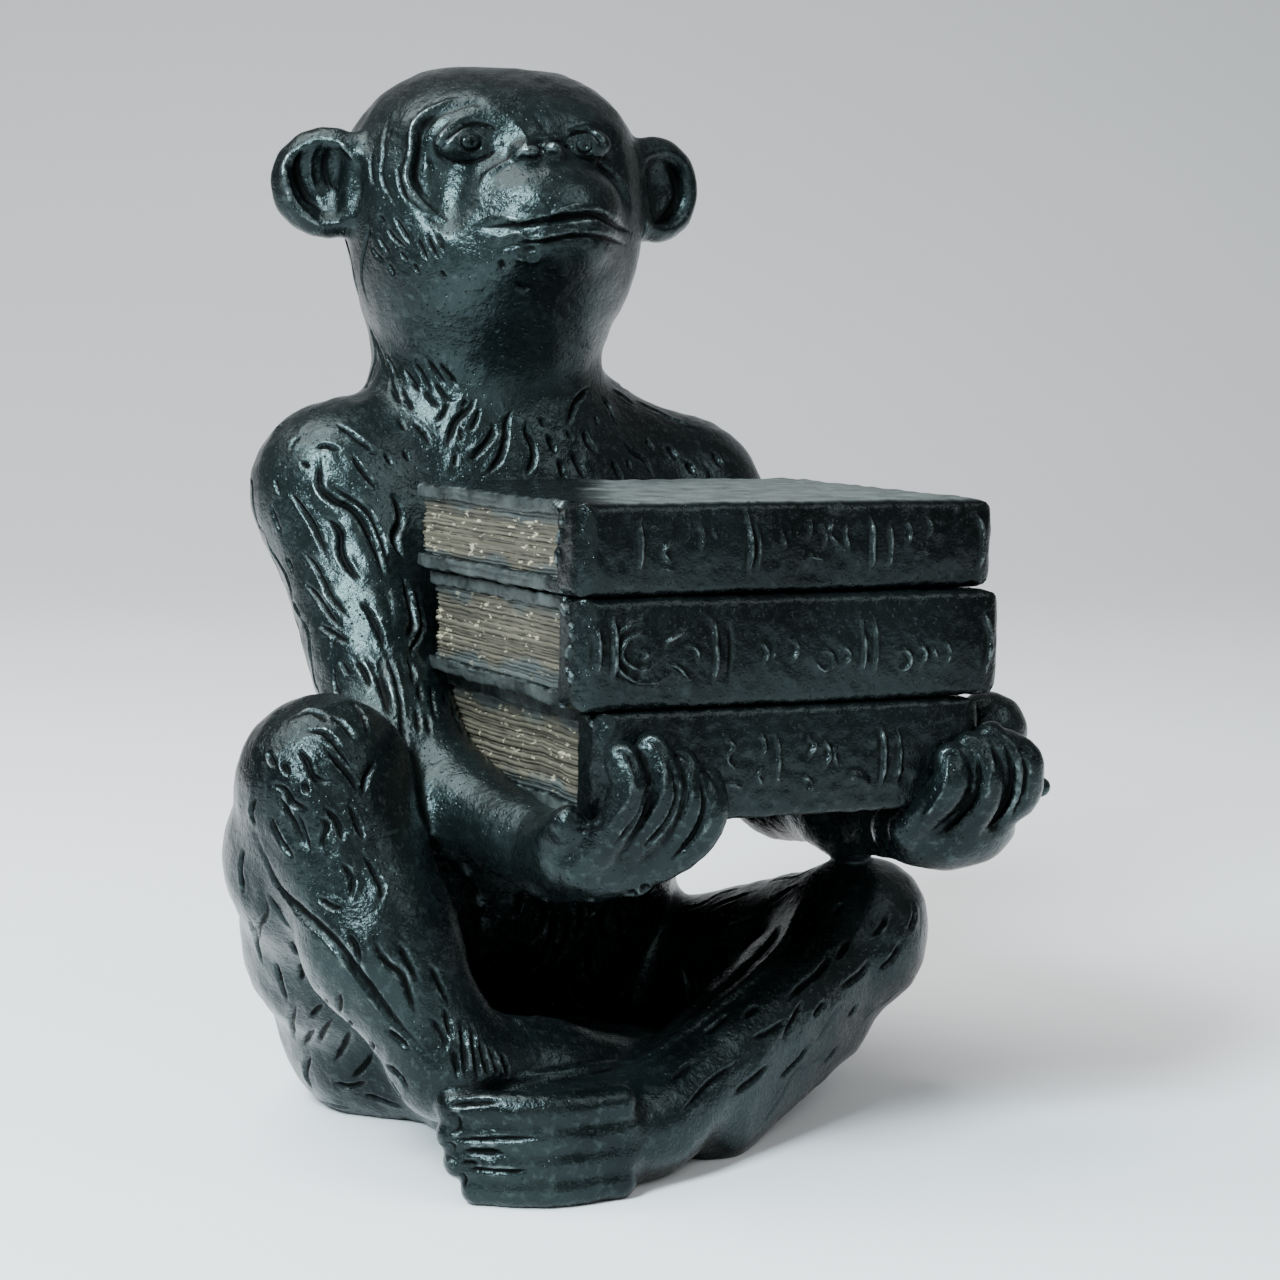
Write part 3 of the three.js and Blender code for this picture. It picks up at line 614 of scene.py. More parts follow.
def add_front_foot(figure):
    sole = Ball((-32, -96, 10), (25, 13, 13))
    sole_to_shin = Limb((-25, -101, 11.5), 9, (-9, -95, 13.5), 8)
    figure.add(5, sole, sole_to_shin)
    for toe, tip in enumerate(TOE_TIPS):
        height = LOWEST_TOE + TOE_SPACING * toe
        path = [(-26, -107, height), (-42, -106, height), (*tip, height)]
        figure.add(1.6, Ridge(path, TOE_RADIUS))


def sculpt_figure():
    figure = Sculpture()
    add_trunk(figure)
    add_head(figure)
    add_ears(figure)
    add_right_leg(figure)
    add_left_leg(figure)
    add_arms(figure)
    add_hands(figure)
    add_front_foot(figure)
    return figure


# Strokes. A groove's lip stands proud by its share of the lip height

LIP_HEIGHT = 0.35


def grooves(width, depth, lip, paths):
    """Grooves with the same half width, depth and lip's share, along some paths.

    A path holds pixels of the camera's frame, and its groove lies where the camera sees them.
    """
    return width, depth, lip, paths


def ridges(width, height, paths):
    """The same for ridges, which stand proud of the skin and have no lip."""
    return width, -height, 0, paths


class Strokes:
    """The stations of all strokes, with the half width, depth and lip at each."""

    def __init__(self):
        self.points = np.empty((0, 3))
        self.shape = np.empty((0, 3))

    def put(self, points, width, depth, lip):
        """A stroke along a dense path, that thins out to both ends."""
        share = np.linspace(0, 1, len(points))
        taper = np.clip(np.sin(math.pi * share) * 1.25, 0, 1)[:, None]
        shape = np.array([width, depth, lip]) * (0.4 + 0.6 * taper)
        shape[:, 1:] *= taper ** 0.7
        self.points = np.vstack([self.points, points])
        self.shape = np.vstack([self.shape, shape])


def dense(points, gap=0.25):
    lengths = np.linalg.norm(np.diff(points, axis=0), axis=1)
    along = np.concatenate([[0], np.cumsum(lengths)])
    stations = np.linspace(0, along[-1], max(3, int(along[-1] / gap)))
    return np.stack([np.interp(stations, along, points[:, axis]) for axis in range(3)], 1)


def seen(figure, camera, pixels, nearest=500, farthest=900, rounds=70):
    """Where the camera's rays through some pixels meet the figure, and which of them do."""
    touching, stride = 0.02, 0.9
    turn = np.array(camera.rotation_euler.to_matrix())
    eye = np.array(camera.location) / MILLIMETRE
    middle, ahead = FRAME / 2, np.full(len(pixels), -FOCAL_LENGTH)
    rays = np.stack([pixels[:, 0] - middle, middle - pixels[:, 1], ahead], 1) @ turn.T
    rays /= np.linalg.norm(rays, axis=1)[:, None]
    reach = np.full(len(pixels), float(nearest))
    for _ in range(rounds):
        level = figure.level(eye + rays * reach[:, None])
        reach += np.where(np.abs(level) < touching, 0, level * stride)
        reach = np.minimum(reach, farthest)
    return eye + rays * reach[:, None], reach < farthest - 1


def carve_seen(strokes, figure, camera, groups, pixel_gap=1.5, jump=4):
    """Puts the strokes that are given by pixels on to the figure, parted where the skin jumps."""
    pixels, lines = [], []
    for width, depth, lip, paths in groups:
        for path in paths:
            curve = smooth_curve([(u, v, 0) for u, v in path], bends=8)
            pixels.append(dense(curve, pixel_gap)[:, :2])
            lines.append((width, depth, lip, len(pixels[-1])))
    places, hits = seen(figure, camera, np.concatenate(pixels))
    start = 0
    for width, depth, lip, count in lines:
        line = places[start:start + count][hits[start:start + count]]
        start += count
        jumps = np.flatnonzero(np.linalg.norm(np.diff(line, axis=0), axis=1) > jump) + 1
        for part in np.split(line, jumps):
            if len(part) > 2:
                strokes.put(dense(part), width, depth, lip)


# Face
EYES = [
    grooves(width=0.8, depth=0.85, lip=0.2, paths=[
        [(437, 151), (444, 142), (454, 132), (466, 125), (480, 124), (490, 127), (498, 134),
         (504, 143)],
        [(438, 151), (450, 160), (466, 163), (478, 160), (490, 154), (502, 145)],
        [(566, 139), (576, 132), (590, 131), (599, 138), (605, 148), (609, 155)],
        [(569, 146), (578, 156), (590, 159), (603, 160)],
    ]),
    grooves(width=0.55, depth=0.6, lip=0.2, paths=[
        [(472, 132), (480, 137), (481, 145), (474, 151), (465, 149), (462, 141), (466, 134),
         (473, 132)],
        [(471, 139), (475, 142), (471, 144)],
        [(585, 137), (592, 141), (592, 149), (585, 153), (578, 149), (577, 142), (582, 137)],
        [(584, 143), (587, 146), (584, 148)],
    ]),
    ridges(width=1.0, height=0.55, paths=[
        [(433, 148), (441, 136), (453, 124), (468, 117), (484, 116)],
        [(563, 134), (579, 124), (596, 124), (608, 132)],
    ]),
    grooves(width=1.1, depth=0.5, lip=0, paths=[
        [(430, 122), (424, 138), (426, 152), (434, 166), (440, 178)],
        [(442, 118), (456, 108), (474, 103), (490, 106)], [(534, 112), (540, 122), (546, 132)],
    ]),
]
MUZZLE = [
    ridges(width=1.0, height=0.6, paths=[
        [(476, 196), (483, 180), (498, 168), (514, 158), (523, 150), (527, 141), (519, 128),
         (512, 118)],
        [(596, 158), (610, 168), (620, 180), (627, 194), (631, 207), (636, 216)],
    ]),
    ridges(width=0.75, height=0.65, paths=[
        [(520, 152), (529, 141), (548, 138), (566, 136), (577, 128)],
        [(472, 228), (480, 220), (500, 216), (517, 220), (536, 220), (550, 216), (562, 209),
         (580, 204), (600, 206)],
        [(476, 235), (500, 237), (518, 233), (531, 239), (550, 235), (572, 231), (585, 232),
         (604, 229)],
        [(513, 252), (520, 259), (536, 261), (544, 253)],
    ]),
    ridges(width=1.5, height=1.2, paths=[
        [(524, 154), (530, 151), (537, 152)], [(546, 150), (552, 147), (559, 149)],
    ]),
    grooves(width=0.8, depth=1.0, lip=0, paths=[
        [(539, 149), (541, 147), (543, 148)], [(566, 147), (568, 146), (570, 148)],
    ]),
    grooves(width=1.2, depth=1.6, lip=0, paths=[
        [(473, 230), (492, 227), (520, 225), (544, 221), (560, 219), (580, 216), (598, 215),
         (610, 221), (624, 229), (635, 235)],
    ]),
    grooves(width=0.8, depth=0.7, lip=0.15, paths=[
        [(476, 244), (492, 248), (510, 246), (530, 243), (550, 241), (572, 237), (600, 237),
         (620, 243), (633, 249)],
    ]),
    grooves(width=1.1, depth=0.7, lip=0, paths=[
        [(522, 247), (530, 249), (538, 248)], [(516, 283), (522, 288), (530, 288)],
        [(500, 262), (504, 268)],
    ]),
]
FACE_EDGE = [
    ridges(width=1.2, height=1.4, paths=[
        [(460, 97), (440, 105), (424, 115), (414, 128), (412, 150), (407, 178), (412, 192),
         (426, 208), (449, 224)],
    ]),
    grooves(width=1.6, depth=1.2, lip=0, paths=[
        [(464, 102), (442, 112), (429, 121), (421, 136), (420, 156), (417, 176), (423, 190),
         (436, 203)],
    ]),
    grooves(width=0.7, depth=0.5, lip=0.3, paths=[
        [(402, 102), (390, 117), (385, 135), (384, 155), (382, 176), (390, 196), (404, 214)],
        [(396, 160), (399, 175), (402, 190), (412, 208)], [(373, 150), (371, 172), (376, 190)],
        [(392, 128), (386, 142)],
    ]),
    grooves(width=0.7, depth=0.6, lip=0.35, paths=[
        [(417, 234), (422, 248), (429, 263)], [(426, 232), (432, 246), (438, 260)],
        [(435, 230), (441, 242), (444, 254)], [(384, 222), (394, 238), (408, 248)],
        [(392, 214), (402, 228), (412, 246)], [(376, 232), (384, 246), (392, 256)],
        [(370, 244), (378, 256), (386, 262)], [(378, 214), (386, 224)], [(440, 270), (446, 278)],
        [(366, 226), (372, 236)], [(400, 250), (408, 262)], [(412, 262), (420, 274)],
        [(388, 262), (396, 276)],
    ]),
]
# Ears
EARS = [
    ridges(width=1.3, height=1.0, paths=[
        [(294, 146), (284, 166), (287, 188), (296, 206), (310, 219), (326, 228)],
    ]),
    grooves(width=1.4, depth=1.3, lip=0, paths=[
        [(306, 146), (298, 165), (301, 185), (311, 201), (326, 213)],
        [(660, 160), (674, 176), (677, 196), (668, 214), (654, 224)],
    ]),
    ridges(width=0.9, height=0.7, paths=[[(318, 142), (310, 162), (312, 182), (322, 198)]]),
    grooves(width=1.0, depth=0.9, lip=0, paths=[[(330, 146), (324, 164), (327, 182), (337, 194)]]),
    ridges(width=0.9, height=0.6, paths=[[(335, 140), (350, 152), (356, 166)]]),
]
CHEST = [
    grooves(width=1.0, depth=0.9, lip=0.45, paths=[
        [(517, 404), (507, 420), (505, 440), (501, 455), (495, 465), (480, 480)],
        [(529, 414), (526, 430), (533, 446), (533, 462), (523, 480)],
        [(491, 420), (493, 430), (487, 442), (475, 455), (470, 466)],
        [(477, 395), (470, 407), (457, 420), (450, 435), (446, 450)],
        [(584, 428), (587, 441), (596, 454)], [(571, 450), (577, 462), (586, 480)],
        [(621, 438), (632, 452), (645, 462), (653, 478)], [(645, 438), (656, 456)],
        [(611, 460), (622, 480)], [(559, 458), (565, 480)], [(547, 434), (552, 445), (556, 454)],
        [(590, 386), (576, 402), (567, 426)], [(600, 396), (608, 406), (616, 426)],
        [(612, 390), (622, 396), (633, 405)], [(635, 401), (655, 411), (676, 421), (702, 432)],
        [(686, 462), (694, 474)], [(668, 446), (676, 460)], [(712, 452), (722, 468)],
    ]),
    grooves(width=0.7, depth=0.6, lip=0.4, paths=[
        [(459, 426), (462, 442)], [(595, 415), (598, 426)], [(626, 458), (631, 470)],
        [(572, 440), (566, 430)], [(402, 366), (412, 380), (420, 396)],
        [(410, 358), (422, 374), (432, 398)], [(424, 356), (436, 372), (448, 388)],
        [(436, 360), (448, 374), (460, 388)], [(420, 384), (431, 400), (441, 410)],
        [(432, 378), (446, 398), (455, 404)], [(400, 384), (406, 400), (416, 414)],
        [(390, 376), (394, 392), (404, 408)], [(448, 398), (444, 412), (436, 424)],
        [(384, 350), (392, 364), (398, 378)], [(372, 336), (380, 350), (386, 368)],
        [(466, 398), (462, 410)], [(412, 420), (424, 434), (432, 446)], [(398, 418), (406, 432)],
        [(480, 404), (476, 420), (468, 434)], [(456, 452), (454, 468)], [(540, 418), (544, 428)],
    ]),
]
# Right arm
UPPER_ARM = [
    ridges(width=2.6, height=0.75, paths=[
        [(308, 474), (326, 503), (347, 522), (360, 548), (372, 574)],
        [(368, 586), (381, 612), (388, 640)], [(394, 590), (399, 612), (398, 634)],
        [(390, 650), (394, 690), (400, 730)],
    ]),
    grooves(width=1.1, depth=1.2, lip=0.55, paths=[
        [(318, 450), (319, 470), (320, 487), (333, 500), (351, 508), (363, 522), (375, 548),
         (381, 566), (386, 584)],
        [(323, 518), (333, 523), (340, 534), (340, 550), (348, 567), (364, 585)],
        [(400, 572), (407, 590), (411, 610), (413, 626), (404, 642)],
        [(388, 490), (397, 503), (400, 520), (394, 536), (398, 549), (409, 565)],
    ]),
    grooves(width=0.8, depth=0.8, lip=0.5, paths=[
        [(330, 470), (334, 486), (350, 498), (368, 512), (380, 536), (388, 560), (394, 578)],
        [(416, 584), (419, 605), (423, 626), (417, 640), (411, 652), (421, 672)],
        [(285, 486), (300, 505), (313, 526), (322, 546), (329, 562)],
        [(294, 500), (308, 516), (320, 536)],
        [(296, 545), (312, 561), (322, 578), (328, 592), (340, 608), (354, 625)],
        [(302, 580), (318, 597), (330, 615), (343, 629)], [(318, 624), (333, 633), (350, 644)],
        [(334, 422), (350, 433), (365, 445), (380, 455)],
        [(349, 450), (358, 465), (368, 478), (380, 492)],
        [(357, 596), (370, 615), (380, 635), (387, 657)],
        [(364, 652), (378, 680), (388, 710), (396, 734)],
        [(396, 636), (388, 653), (395, 680), (400, 704), (403, 732), (411, 758)],
        [(352, 655), (364, 672), (370, 690)], [(404, 650), (412, 668), (414, 690)],
        [(314, 448), (326, 446), (342, 452)], [(384, 655), (379, 672), (386, 694), (392, 716)],
    ]),
    grooves(width=0.7, depth=0.7, lip=0.4, paths=[
        [(418, 678), (421, 704)], [(431, 682), (433, 704), (437, 722)],
        [(449, 698), (455, 718), (464, 738)], [(416, 702), (419, 738)], [(443, 690), (446, 706)],
        [(290, 452), (295, 441), (301, 436)], [(309, 413), (317, 407)], [(274, 478), (281, 496)],
        [(270, 500), (276, 520), (284, 536)], [(336, 632), (332, 648)], [(426, 712), (430, 736)],
        [(300, 462), (310, 468)], [(276, 430), (284, 422)], [(286, 556), (294, 572)],
        [(292, 600), (302, 618)], [(384, 452), (392, 466)], [(402, 448), (410, 462)],
        [(340, 660), (350, 676)],
    ]),
]
# Right leg
RIGHT_LEG = [
    ridges(width=3.4, height=0.8, paths=[
        [(288, 768), (312, 800), (330, 836), (346, 872), (354, 900)],
    ]),
    grooves(width=0.85, depth=0.85, lip=0.45, paths=[
        [(268, 784), (284, 789), (294, 804), (313, 806)],
        [(275, 790), (287, 811), (298, 831), (307, 857)], [(295, 809), (303, 830), (311, 856)],
        [(318, 815), (327, 825), (322, 841), (326, 854)], [(322, 804), (337, 822), (343, 846)],
        [(294, 745), (306, 760), (315, 778), (338, 781)],
        [(322, 744), (334, 758), (351, 778), (363, 799)],
        [(302, 730), (326, 734), (340, 750), (354, 770)], [(316, 896), (331, 906), (344, 908)],
        [(376, 760), (366, 776), (362, 800)], [(268, 812), (280, 838), (296, 862)],
        [(256, 796), (252, 812), (256, 826)], [(348, 800), (356, 822), (366, 846)],
        [(340, 860), (352, 880), (350, 902)], [(360, 850), (374, 872), (382, 892), (376, 906)],
        [(330, 716), (344, 726), (356, 742)], [(350, 700), (362, 716), (370, 738)],
        [(282, 762), (290, 776)], [(304, 782), (308, 794)], [(268, 752), (276, 768)],
        [(296, 716), (314, 712), (330, 722)],
    ]),
    grooves(width=0.9, depth=0.8, lip=0.4, paths=[
        [(374, 930), (378, 950), (388, 964), (401, 974), (409, 994), (418, 1021)],
        [(262, 888), (267, 911), (259, 928), (257, 946)], [(244, 846), (241, 870), (244, 896)],
        [(248, 914), (256, 939), (264, 968)], [(339, 990), (339, 1011), (326, 1028), (319, 1044)],
        [(351, 1020), (348, 1039), (331, 1066)], [(373, 1042), (370, 1058), (350, 1080)],
        [(328, 1000), (309, 1018)], [(316, 1028), (302, 1046)],
        [(298, 1000), (292, 1022), (296, 1044)], [(276, 960), (282, 984), (288, 1004)],
        [(290, 940), (300, 960), (302, 984)], [(312, 1052), (306, 1072), (312, 1090)],
        [(332, 1082), (352, 1086), (370, 1080)], [(384, 1064), (398, 1074), (410, 1092)],
        [(384, 1028), (398, 1038), (412, 1051)], [(346, 930), (356, 948), (360, 970)],
        [(300, 1090), (324, 1102), (350, 1108)], [(360, 1094), (384, 1100), (404, 1108)],
        [(428, 960), (440, 984), (452, 1010)], [(396, 938), (406, 958), (420, 984)],
        [(430, 1016), (442, 1034), (448, 1052)],
    ]),
    grooves(width=1.5, depth=1.3, lip=0.2, paths=[
        [(250, 822), (264, 856), (278, 886), (304, 914), (334, 942), (366, 984), (392, 1018),
         (422, 1050), (440, 1072)],
    ]),
    grooves(width=0.8, depth=1.0, lip=0.5, paths=[
        [(461, 1017), (463, 1040), (465, 1062), (466, 1080)],
        [(471, 1024), (474, 1046), (477, 1066), (478, 1084)],
        [(478, 1036), (483, 1056), (489, 1078)], [(444, 1006), (448, 1024), (452, 1040)],
        [(488, 1044), (494, 1060), (498, 1078)], [(452, 1046), (456, 1062), (458, 1080)],
        [(500, 1052), (506, 1066), (508, 1080)],
    ]),
]
# Left leg
LEFT_LEG = [
    ridges(width=1.5, height=0.8, paths=[
        [(612, 1068), (640, 1058), (668, 1043), (700, 1020), (729, 997), (765, 969), (797, 944)],
    ]),
    ridges(width=1.4, height=0.9, paths=[
        [(655, 1059), (687, 1031), (713, 1008), (740, 987), (767, 961), (783, 943), (793, 918),
         (806, 892)],
    ]),
    grooves(width=1.5, depth=1.0, lip=0, paths=[
        [(650, 1050), (684, 1020), (710, 997), (736, 976), (762, 950), (776, 934), (784, 912)],
    ]),
    grooves(width=0.9, depth=0.7, lip=0.4, paths=[
        [(834, 948), (820, 970), (800, 987), (782, 1005)], [(871, 955), (863, 970), (838, 990)],
        [(889, 913), (880, 928), (870, 938)], [(804, 998), (794, 1018), (782, 1039)],
        [(748, 1056), (730, 1068), (713, 1080), (700, 1093), (675, 1119)],
        [(838, 1045), (822, 1065)], [(790, 1016), (772, 1030), (748, 1040)],
        [(858, 1004), (846, 1018)], [(772, 1060), (752, 1080), (730, 1096)],
        [(812, 1040), (796, 1062), (776, 1082)], [(848, 940), (836, 960)],
        [(902, 940), (892, 958), (876, 972)], [(706, 946), (720, 952), (734, 949)],
        [(697, 922), (712, 908), (728, 901), (754, 892)], [(744, 936), (752, 948)],
        [(720, 930), (740, 922), (760, 918)], [(682, 968), (690, 986), (688, 1004)],
        [(766, 906), (780, 896), (800, 884)], [(730, 1012), (716, 1026), (700, 1036)],
        [(758, 1004), (744, 1018)], [(826, 1000), (812, 1018)],
        [(696, 1060), (680, 1074), (668, 1084)], [(844, 902), (832, 916)],
        [(912, 902), (914, 916), (906, 932)],
    ]),
]
# Belly in the lap
BELLY = [
    grooves(width=1.1, depth=1.0, lip=0.5, paths=[
        [(521, 893), (513, 919)], [(542, 896), (543, 920), (531, 945)],
        [(553, 902), (552, 933), (540, 960), (525, 980)],
        [(568, 900), (568, 927), (560, 953), (548, 974)], [(593, 896), (592, 915)],
        [(592, 938), (588, 963), (596, 990)], [(584, 952), (572, 973), (577, 993), (584, 1009)],
        [(643, 885), (650, 912)], [(630, 890), (636, 910)], [(605, 900), (602, 926), (606, 948)],
        [(618, 906), (620, 934), (614, 958)], [(560, 976), (556, 998), (564, 1014)],
        [(604, 966), (608, 986), (604, 1006)], [(622, 974), (620, 996)],
        [(536, 984), (534, 1004), (542, 1020)], [(580, 902), (580, 926), (576, 944)],
    ]),
]
# Hands and the front foot
DIGITS = [
    ridges(width=1.0, height=0.5, paths=[
        [(620, 752), (630, 773), (631, 794), (618, 815), (602, 836)],
        [(652, 739), (662, 762), (665, 788), (652, 815), (634, 841)],
        [(683, 755), (691, 778), (691, 804), (675, 836)],
        [(706, 768), (714, 794), (711, 820), (696, 846)],
        [(948, 755), (946, 783), (935, 804), (914, 830)],
        [(982, 731), (992, 762), (987, 794), (972, 820)],
        [(1010, 736), (1020, 762), (1018, 794), (1003, 820)],
    ]),
    grooves(width=0.9, depth=1.2, lip=0, paths=[
        [(636, 752), (646, 771), (648, 789), (641, 812), (626, 833), (606, 852)],
        [(667, 753), (676, 780), (677, 800), (668, 822), (652, 840), (634, 858)],
        [(697, 767), (704, 790), (704, 812), (696, 832), (682, 850), (664, 864)],
        [(971, 742), (978, 768), (974, 794), (956, 818), (936, 838)],
        [(998, 729), (1010, 760), (1010, 790), (998, 815), (976, 838)],
        [(1020, 748), (1027, 773), (1022, 799), (1010, 822)],
    ]),
    ridges(width=1.5, height=0.9, paths=[
        [(502, 1079), (530, 1076), (560, 1073), (590, 1068), (622, 1063), (652, 1060)],
    ]),
    grooves(width=0.8, depth=1.0, lip=0.2, paths=[
        [(445, 1105), (460, 1104), (480, 1102), (506, 1102)],
        [(444, 1139), (470, 1140), (500, 1139), (548, 1137)],
        [(462, 1150), (482, 1152), (506, 1153)],
        [(452, 1165), (474, 1170), (500, 1172), (536, 1171)], [(460, 1162), (480, 1164)],
    ]),
    grooves(width=0.6, depth=0.5, lip=0.3, paths=[
        
        [(442, 1118), (448, 1114), (456, 1115), (460, 1121), (459, 1129), (450, 1133), (442, 1131)],
        [(440, 1145), (448, 1143), (455, 1147), (453, 1154)],
        [(442, 1155), (450, 1158), (456, 1162), (450, 1166)],
        [(456, 1174), (463, 1175), (466, 1181), (461, 1186), (455, 1183)],
        [(572, 812), (579, 806), (590, 806), (601, 812), (602, 822), (590, 829), (577, 828),
         (571, 820)],
        [(610, 760), (616, 753), (626, 753), (632, 762), (630, 774)],
        [(643, 745), (650, 740), (657, 745), (660, 757)],
        [(671, 760), (678, 754), (686, 758), (689, 770)],
        [(698, 776), (703, 770), (709, 773), (711, 784)],
        [(943, 762), (947, 753), (954, 752), (958, 761)],
        [(966, 744), (972, 740), (978, 745), (980, 756)],
        [(988, 740), (993, 735), (999, 739), (1002, 750)],
        [(1016, 752), (1022, 748), (1028, 752), (1031, 762)],
    ]),
]
# The books' backs: raised bands, and worn marks that spell nothing
BOOK_MARKS = {
    "top": [
        ridges(width=0.85, height=1.25, paths=[
            [(871, 506), (873, 545), (871, 585)], [(748, 500), (751, 545), (749, 588)],
        ]),
        ridges(width=1.3, height=1.0, paths=[
            [(553, 501), (557, 506), (561, 513)], [(560, 512), (563, 518), (562, 526)],
            [(561, 528), (560, 536), (558, 544)], [(557, 548), (558, 556), (556, 566)],
        ]),
        grooves(width=0.9, depth=1.0, lip=0, paths=[[(588, 502), (591, 545), (588, 590)]]),
        ridges(width=0.9, height=1.0, paths=[[(972, 503), (981, 522), (983, 550), (976, 580)]]),
        grooves(width=0.55, depth=0.6, lip=0.2, paths=[
            [(418, 490), (480, 499), (552, 512)], [(414, 562), (480, 571), (552, 584)],
        ]),
        ridges(width=0.65, height=0.85, paths=[
            [(757, 500), (760, 545), (757, 588)], [(890, 512), (892, 540), (890, 578)],
            [(640, 498), (642, 545), (640, 592)],
        ]),
        ridges(width=0.6, height=0.85, paths=[
            [(655, 526), (662, 514), (672, 522), (670, 536)], [(674, 540), (664, 552), (672, 564)],
            [(684, 515), (692, 528), (684, 545)], [(698, 520), (704, 534), (700, 552)],
            [(660, 568), (676, 572)], [(798, 522), (812, 518), (808, 540)],
            [(820, 520), (826, 536), (822, 550)], [(836, 516), (830, 534), (842, 546)],
            [(850, 522), (846, 534), (850, 550)], [(806, 556), (826, 560)],
            [(903, 518), (912, 530), (906, 546)], [(924, 514), (932, 526), (926, 540)],
            [(914, 556), (932, 552)], [(712, 524), (718, 540)], [(782, 530), (786, 548)],
        ]),
    ],
    "middle": [
        ridges(width=0.85, height=1.25, paths=[
            [(714, 608), (717, 650), (713, 692)], [(612, 604), (616, 650), (612, 696)],
        ]),
        ridges(width=1.3, height=1.0, paths=[
            [(560, 603), (565, 610), (569, 620)], [(568, 622), (571, 630), (571, 640)],
            [(571, 644), (569, 652), (567, 660)], [(567, 664), (569, 674), (572, 686)],
        ]),
        grooves(width=0.9, depth=1.0, lip=0, paths=[[(588, 606), (592, 650), (588, 700)]]),
        ridges(width=0.9, height=1.0, paths=[[(978, 602), (988, 622), (990, 650), (983, 684)]]),
        grooves(width=0.55, depth=0.6, lip=0.2, paths=[
            [(430, 584), (500, 596), (562, 608)], [(430, 664), (500, 680), (566, 696)],
        ]),
        ridges(width=0.65, height=0.85, paths=[
            [(597, 612), (600, 650), (597, 690)], [(861, 606), (865, 640), (862, 684)],
            [(873, 606), (877, 640), (874, 682)],
        ]),
        grooves(width=0.8, depth=0.6, lip=0, paths=[[(728, 610), (731, 650), (727, 690)]]),
        ridges(width=0.65, height=0.95, paths=[
            [(654, 642), (641, 634), (628, 641), (622, 655), (632, 667), (647, 669), (658, 659)],
            [(672, 632), (652, 621), (632, 625), (616, 640), (614, 660), (626, 677), (648, 684),
             (670, 675), (682, 658)],
            [(640, 650), (647, 655), (640, 661)], [(662, 646), (674, 638), (690, 630)],
            [(666, 664), (678, 668), (692, 682)], [(684, 644), (696, 650), (700, 664)],
            [(818, 652), (826, 650), (834, 656), (834, 666), (826, 671), (817, 665), (817, 655)],
            [(897, 652), (904, 650), (910, 656), (909, 667), (901, 670), (896, 660)],
        ]),
        ridges(width=0.6, height=0.85, paths=[
            [(842, 645), (850, 655), (844, 668)], [(918, 644), (926, 652), (922, 668)],
            [(932, 646), (938, 660)], [(760, 640), (768, 652), (762, 668)],
            [(778, 642), (773, 660)], [(788, 636), (798, 648), (792, 664)],
            [(944, 640), (950, 652), (946, 666)],
        ]),
    ],
    "lower": [
        ridges(width=0.85, height=1.25, paths=[[(881, 712), (884, 755), (880, 802)]]),
        ridges(width=1.3, height=1.0, paths=[
            [(587, 714), (591, 722), (594, 730)], [(595, 734), (598, 742), (601, 752)],
        ]),
        grooves(width=0.9, depth=0.9, lip=0, paths=[[(612, 716), (616, 740)]]),
        ridges(width=0.65, height=0.85, paths=[
            [(898, 718), (900, 755), (897, 796)], [(748, 712), (750, 730)],
            [(776, 716), (779, 760), (776, 800)],
        ]),
        ridges(width=0.65, height=0.95, paths=[
            [(722, 738), (734, 746), (727, 760), (738, 772)], [(760, 733), (766, 744), (762, 758)],
            [(766, 766), (758, 776), (766, 790)], [(804, 734), (815, 745), (806, 760)],
            [(822, 738), (830, 752), (824, 770)], [(838, 742), (834, 756), (840, 768)],
            [(726, 784), (744, 788)], [(800, 776), (814, 784), (806, 796)],
        ]),
        ridges(width=1.7, height=0.9, paths=[[(845, 783), (857, 778), (870, 785)]]),
    ],
}
SEEN_STROKES = (EYES + MUZZLE + FACE_EDGE + EARS + CHEST + UPPER_ARM + RIGHT_LEG + LEFT_LEG
                + BELLY + DIGITS)


# Fur on the sides that the camera doesn't see: both ends of the core that the strokes run along,
# its radius, the shares of its length and the angles from the front that they cover, how many are
# tried and how deep they are as a share of their half width
FUR_REGIONS = [
    ((3, 8, 152), (3, 24, 14), 46, (0.02, 0.98), (70, 290), 520, 1),
    ((-4, 2, 240), (-2, 8, 158), 30, (0.12, 1.0), (72, 288), 220, 1),
    (SHOULDER["left"], ELBOW["left"], 17, (-0.1, 1.0), (-60, 200), 130, 1),
    (SHOULDER["right"], ELBOW["right"], 17, (-0.1, 1.0), (60, 230), 110, 1),
    (HIP["left"], KNEE["left"], 21, (0.05, 1.0), (-180, 180), 160, 0.3),
    (HIP["right"], RAISED_THIGH, 23, (0.1, 1.0), (20, 200), 150, 1),
    (KNEE["left"], LEFT_SHIN_END, 15, (0.0, 0.85), (-180, 180), 130, 0.3),
    (KNEE["right"], ANKLE["right"], 16, (0.0, 0.95), (30, 300), 120, 1),
]
FUR_LENGTHS, FUR_WIDTHS, FUR_LIP = (13, 32), (0.65, 1.05), 0.3
FUR_LEAN, FUR_SWAYS, SWAY_RADIUS = 14, (3, 9), 20
# Balls of space without such fur, by centre and radius: the face, wrists, forearms, front foot,
# fingers and ears
BARE_PLACES = [
    (np.array(head_place @ Vector((0, -30, 0))), 34),
    (WRIST["right"], 24), (WRIST["left"], 27), (FOREARM["right"], 16), (FOREARM["left"], 16),
    ((-36, -100, 10), 26), ((0, -112, 92), 20), ((-50, 0, 215), 18), ((46, 0, 213), 18),
]


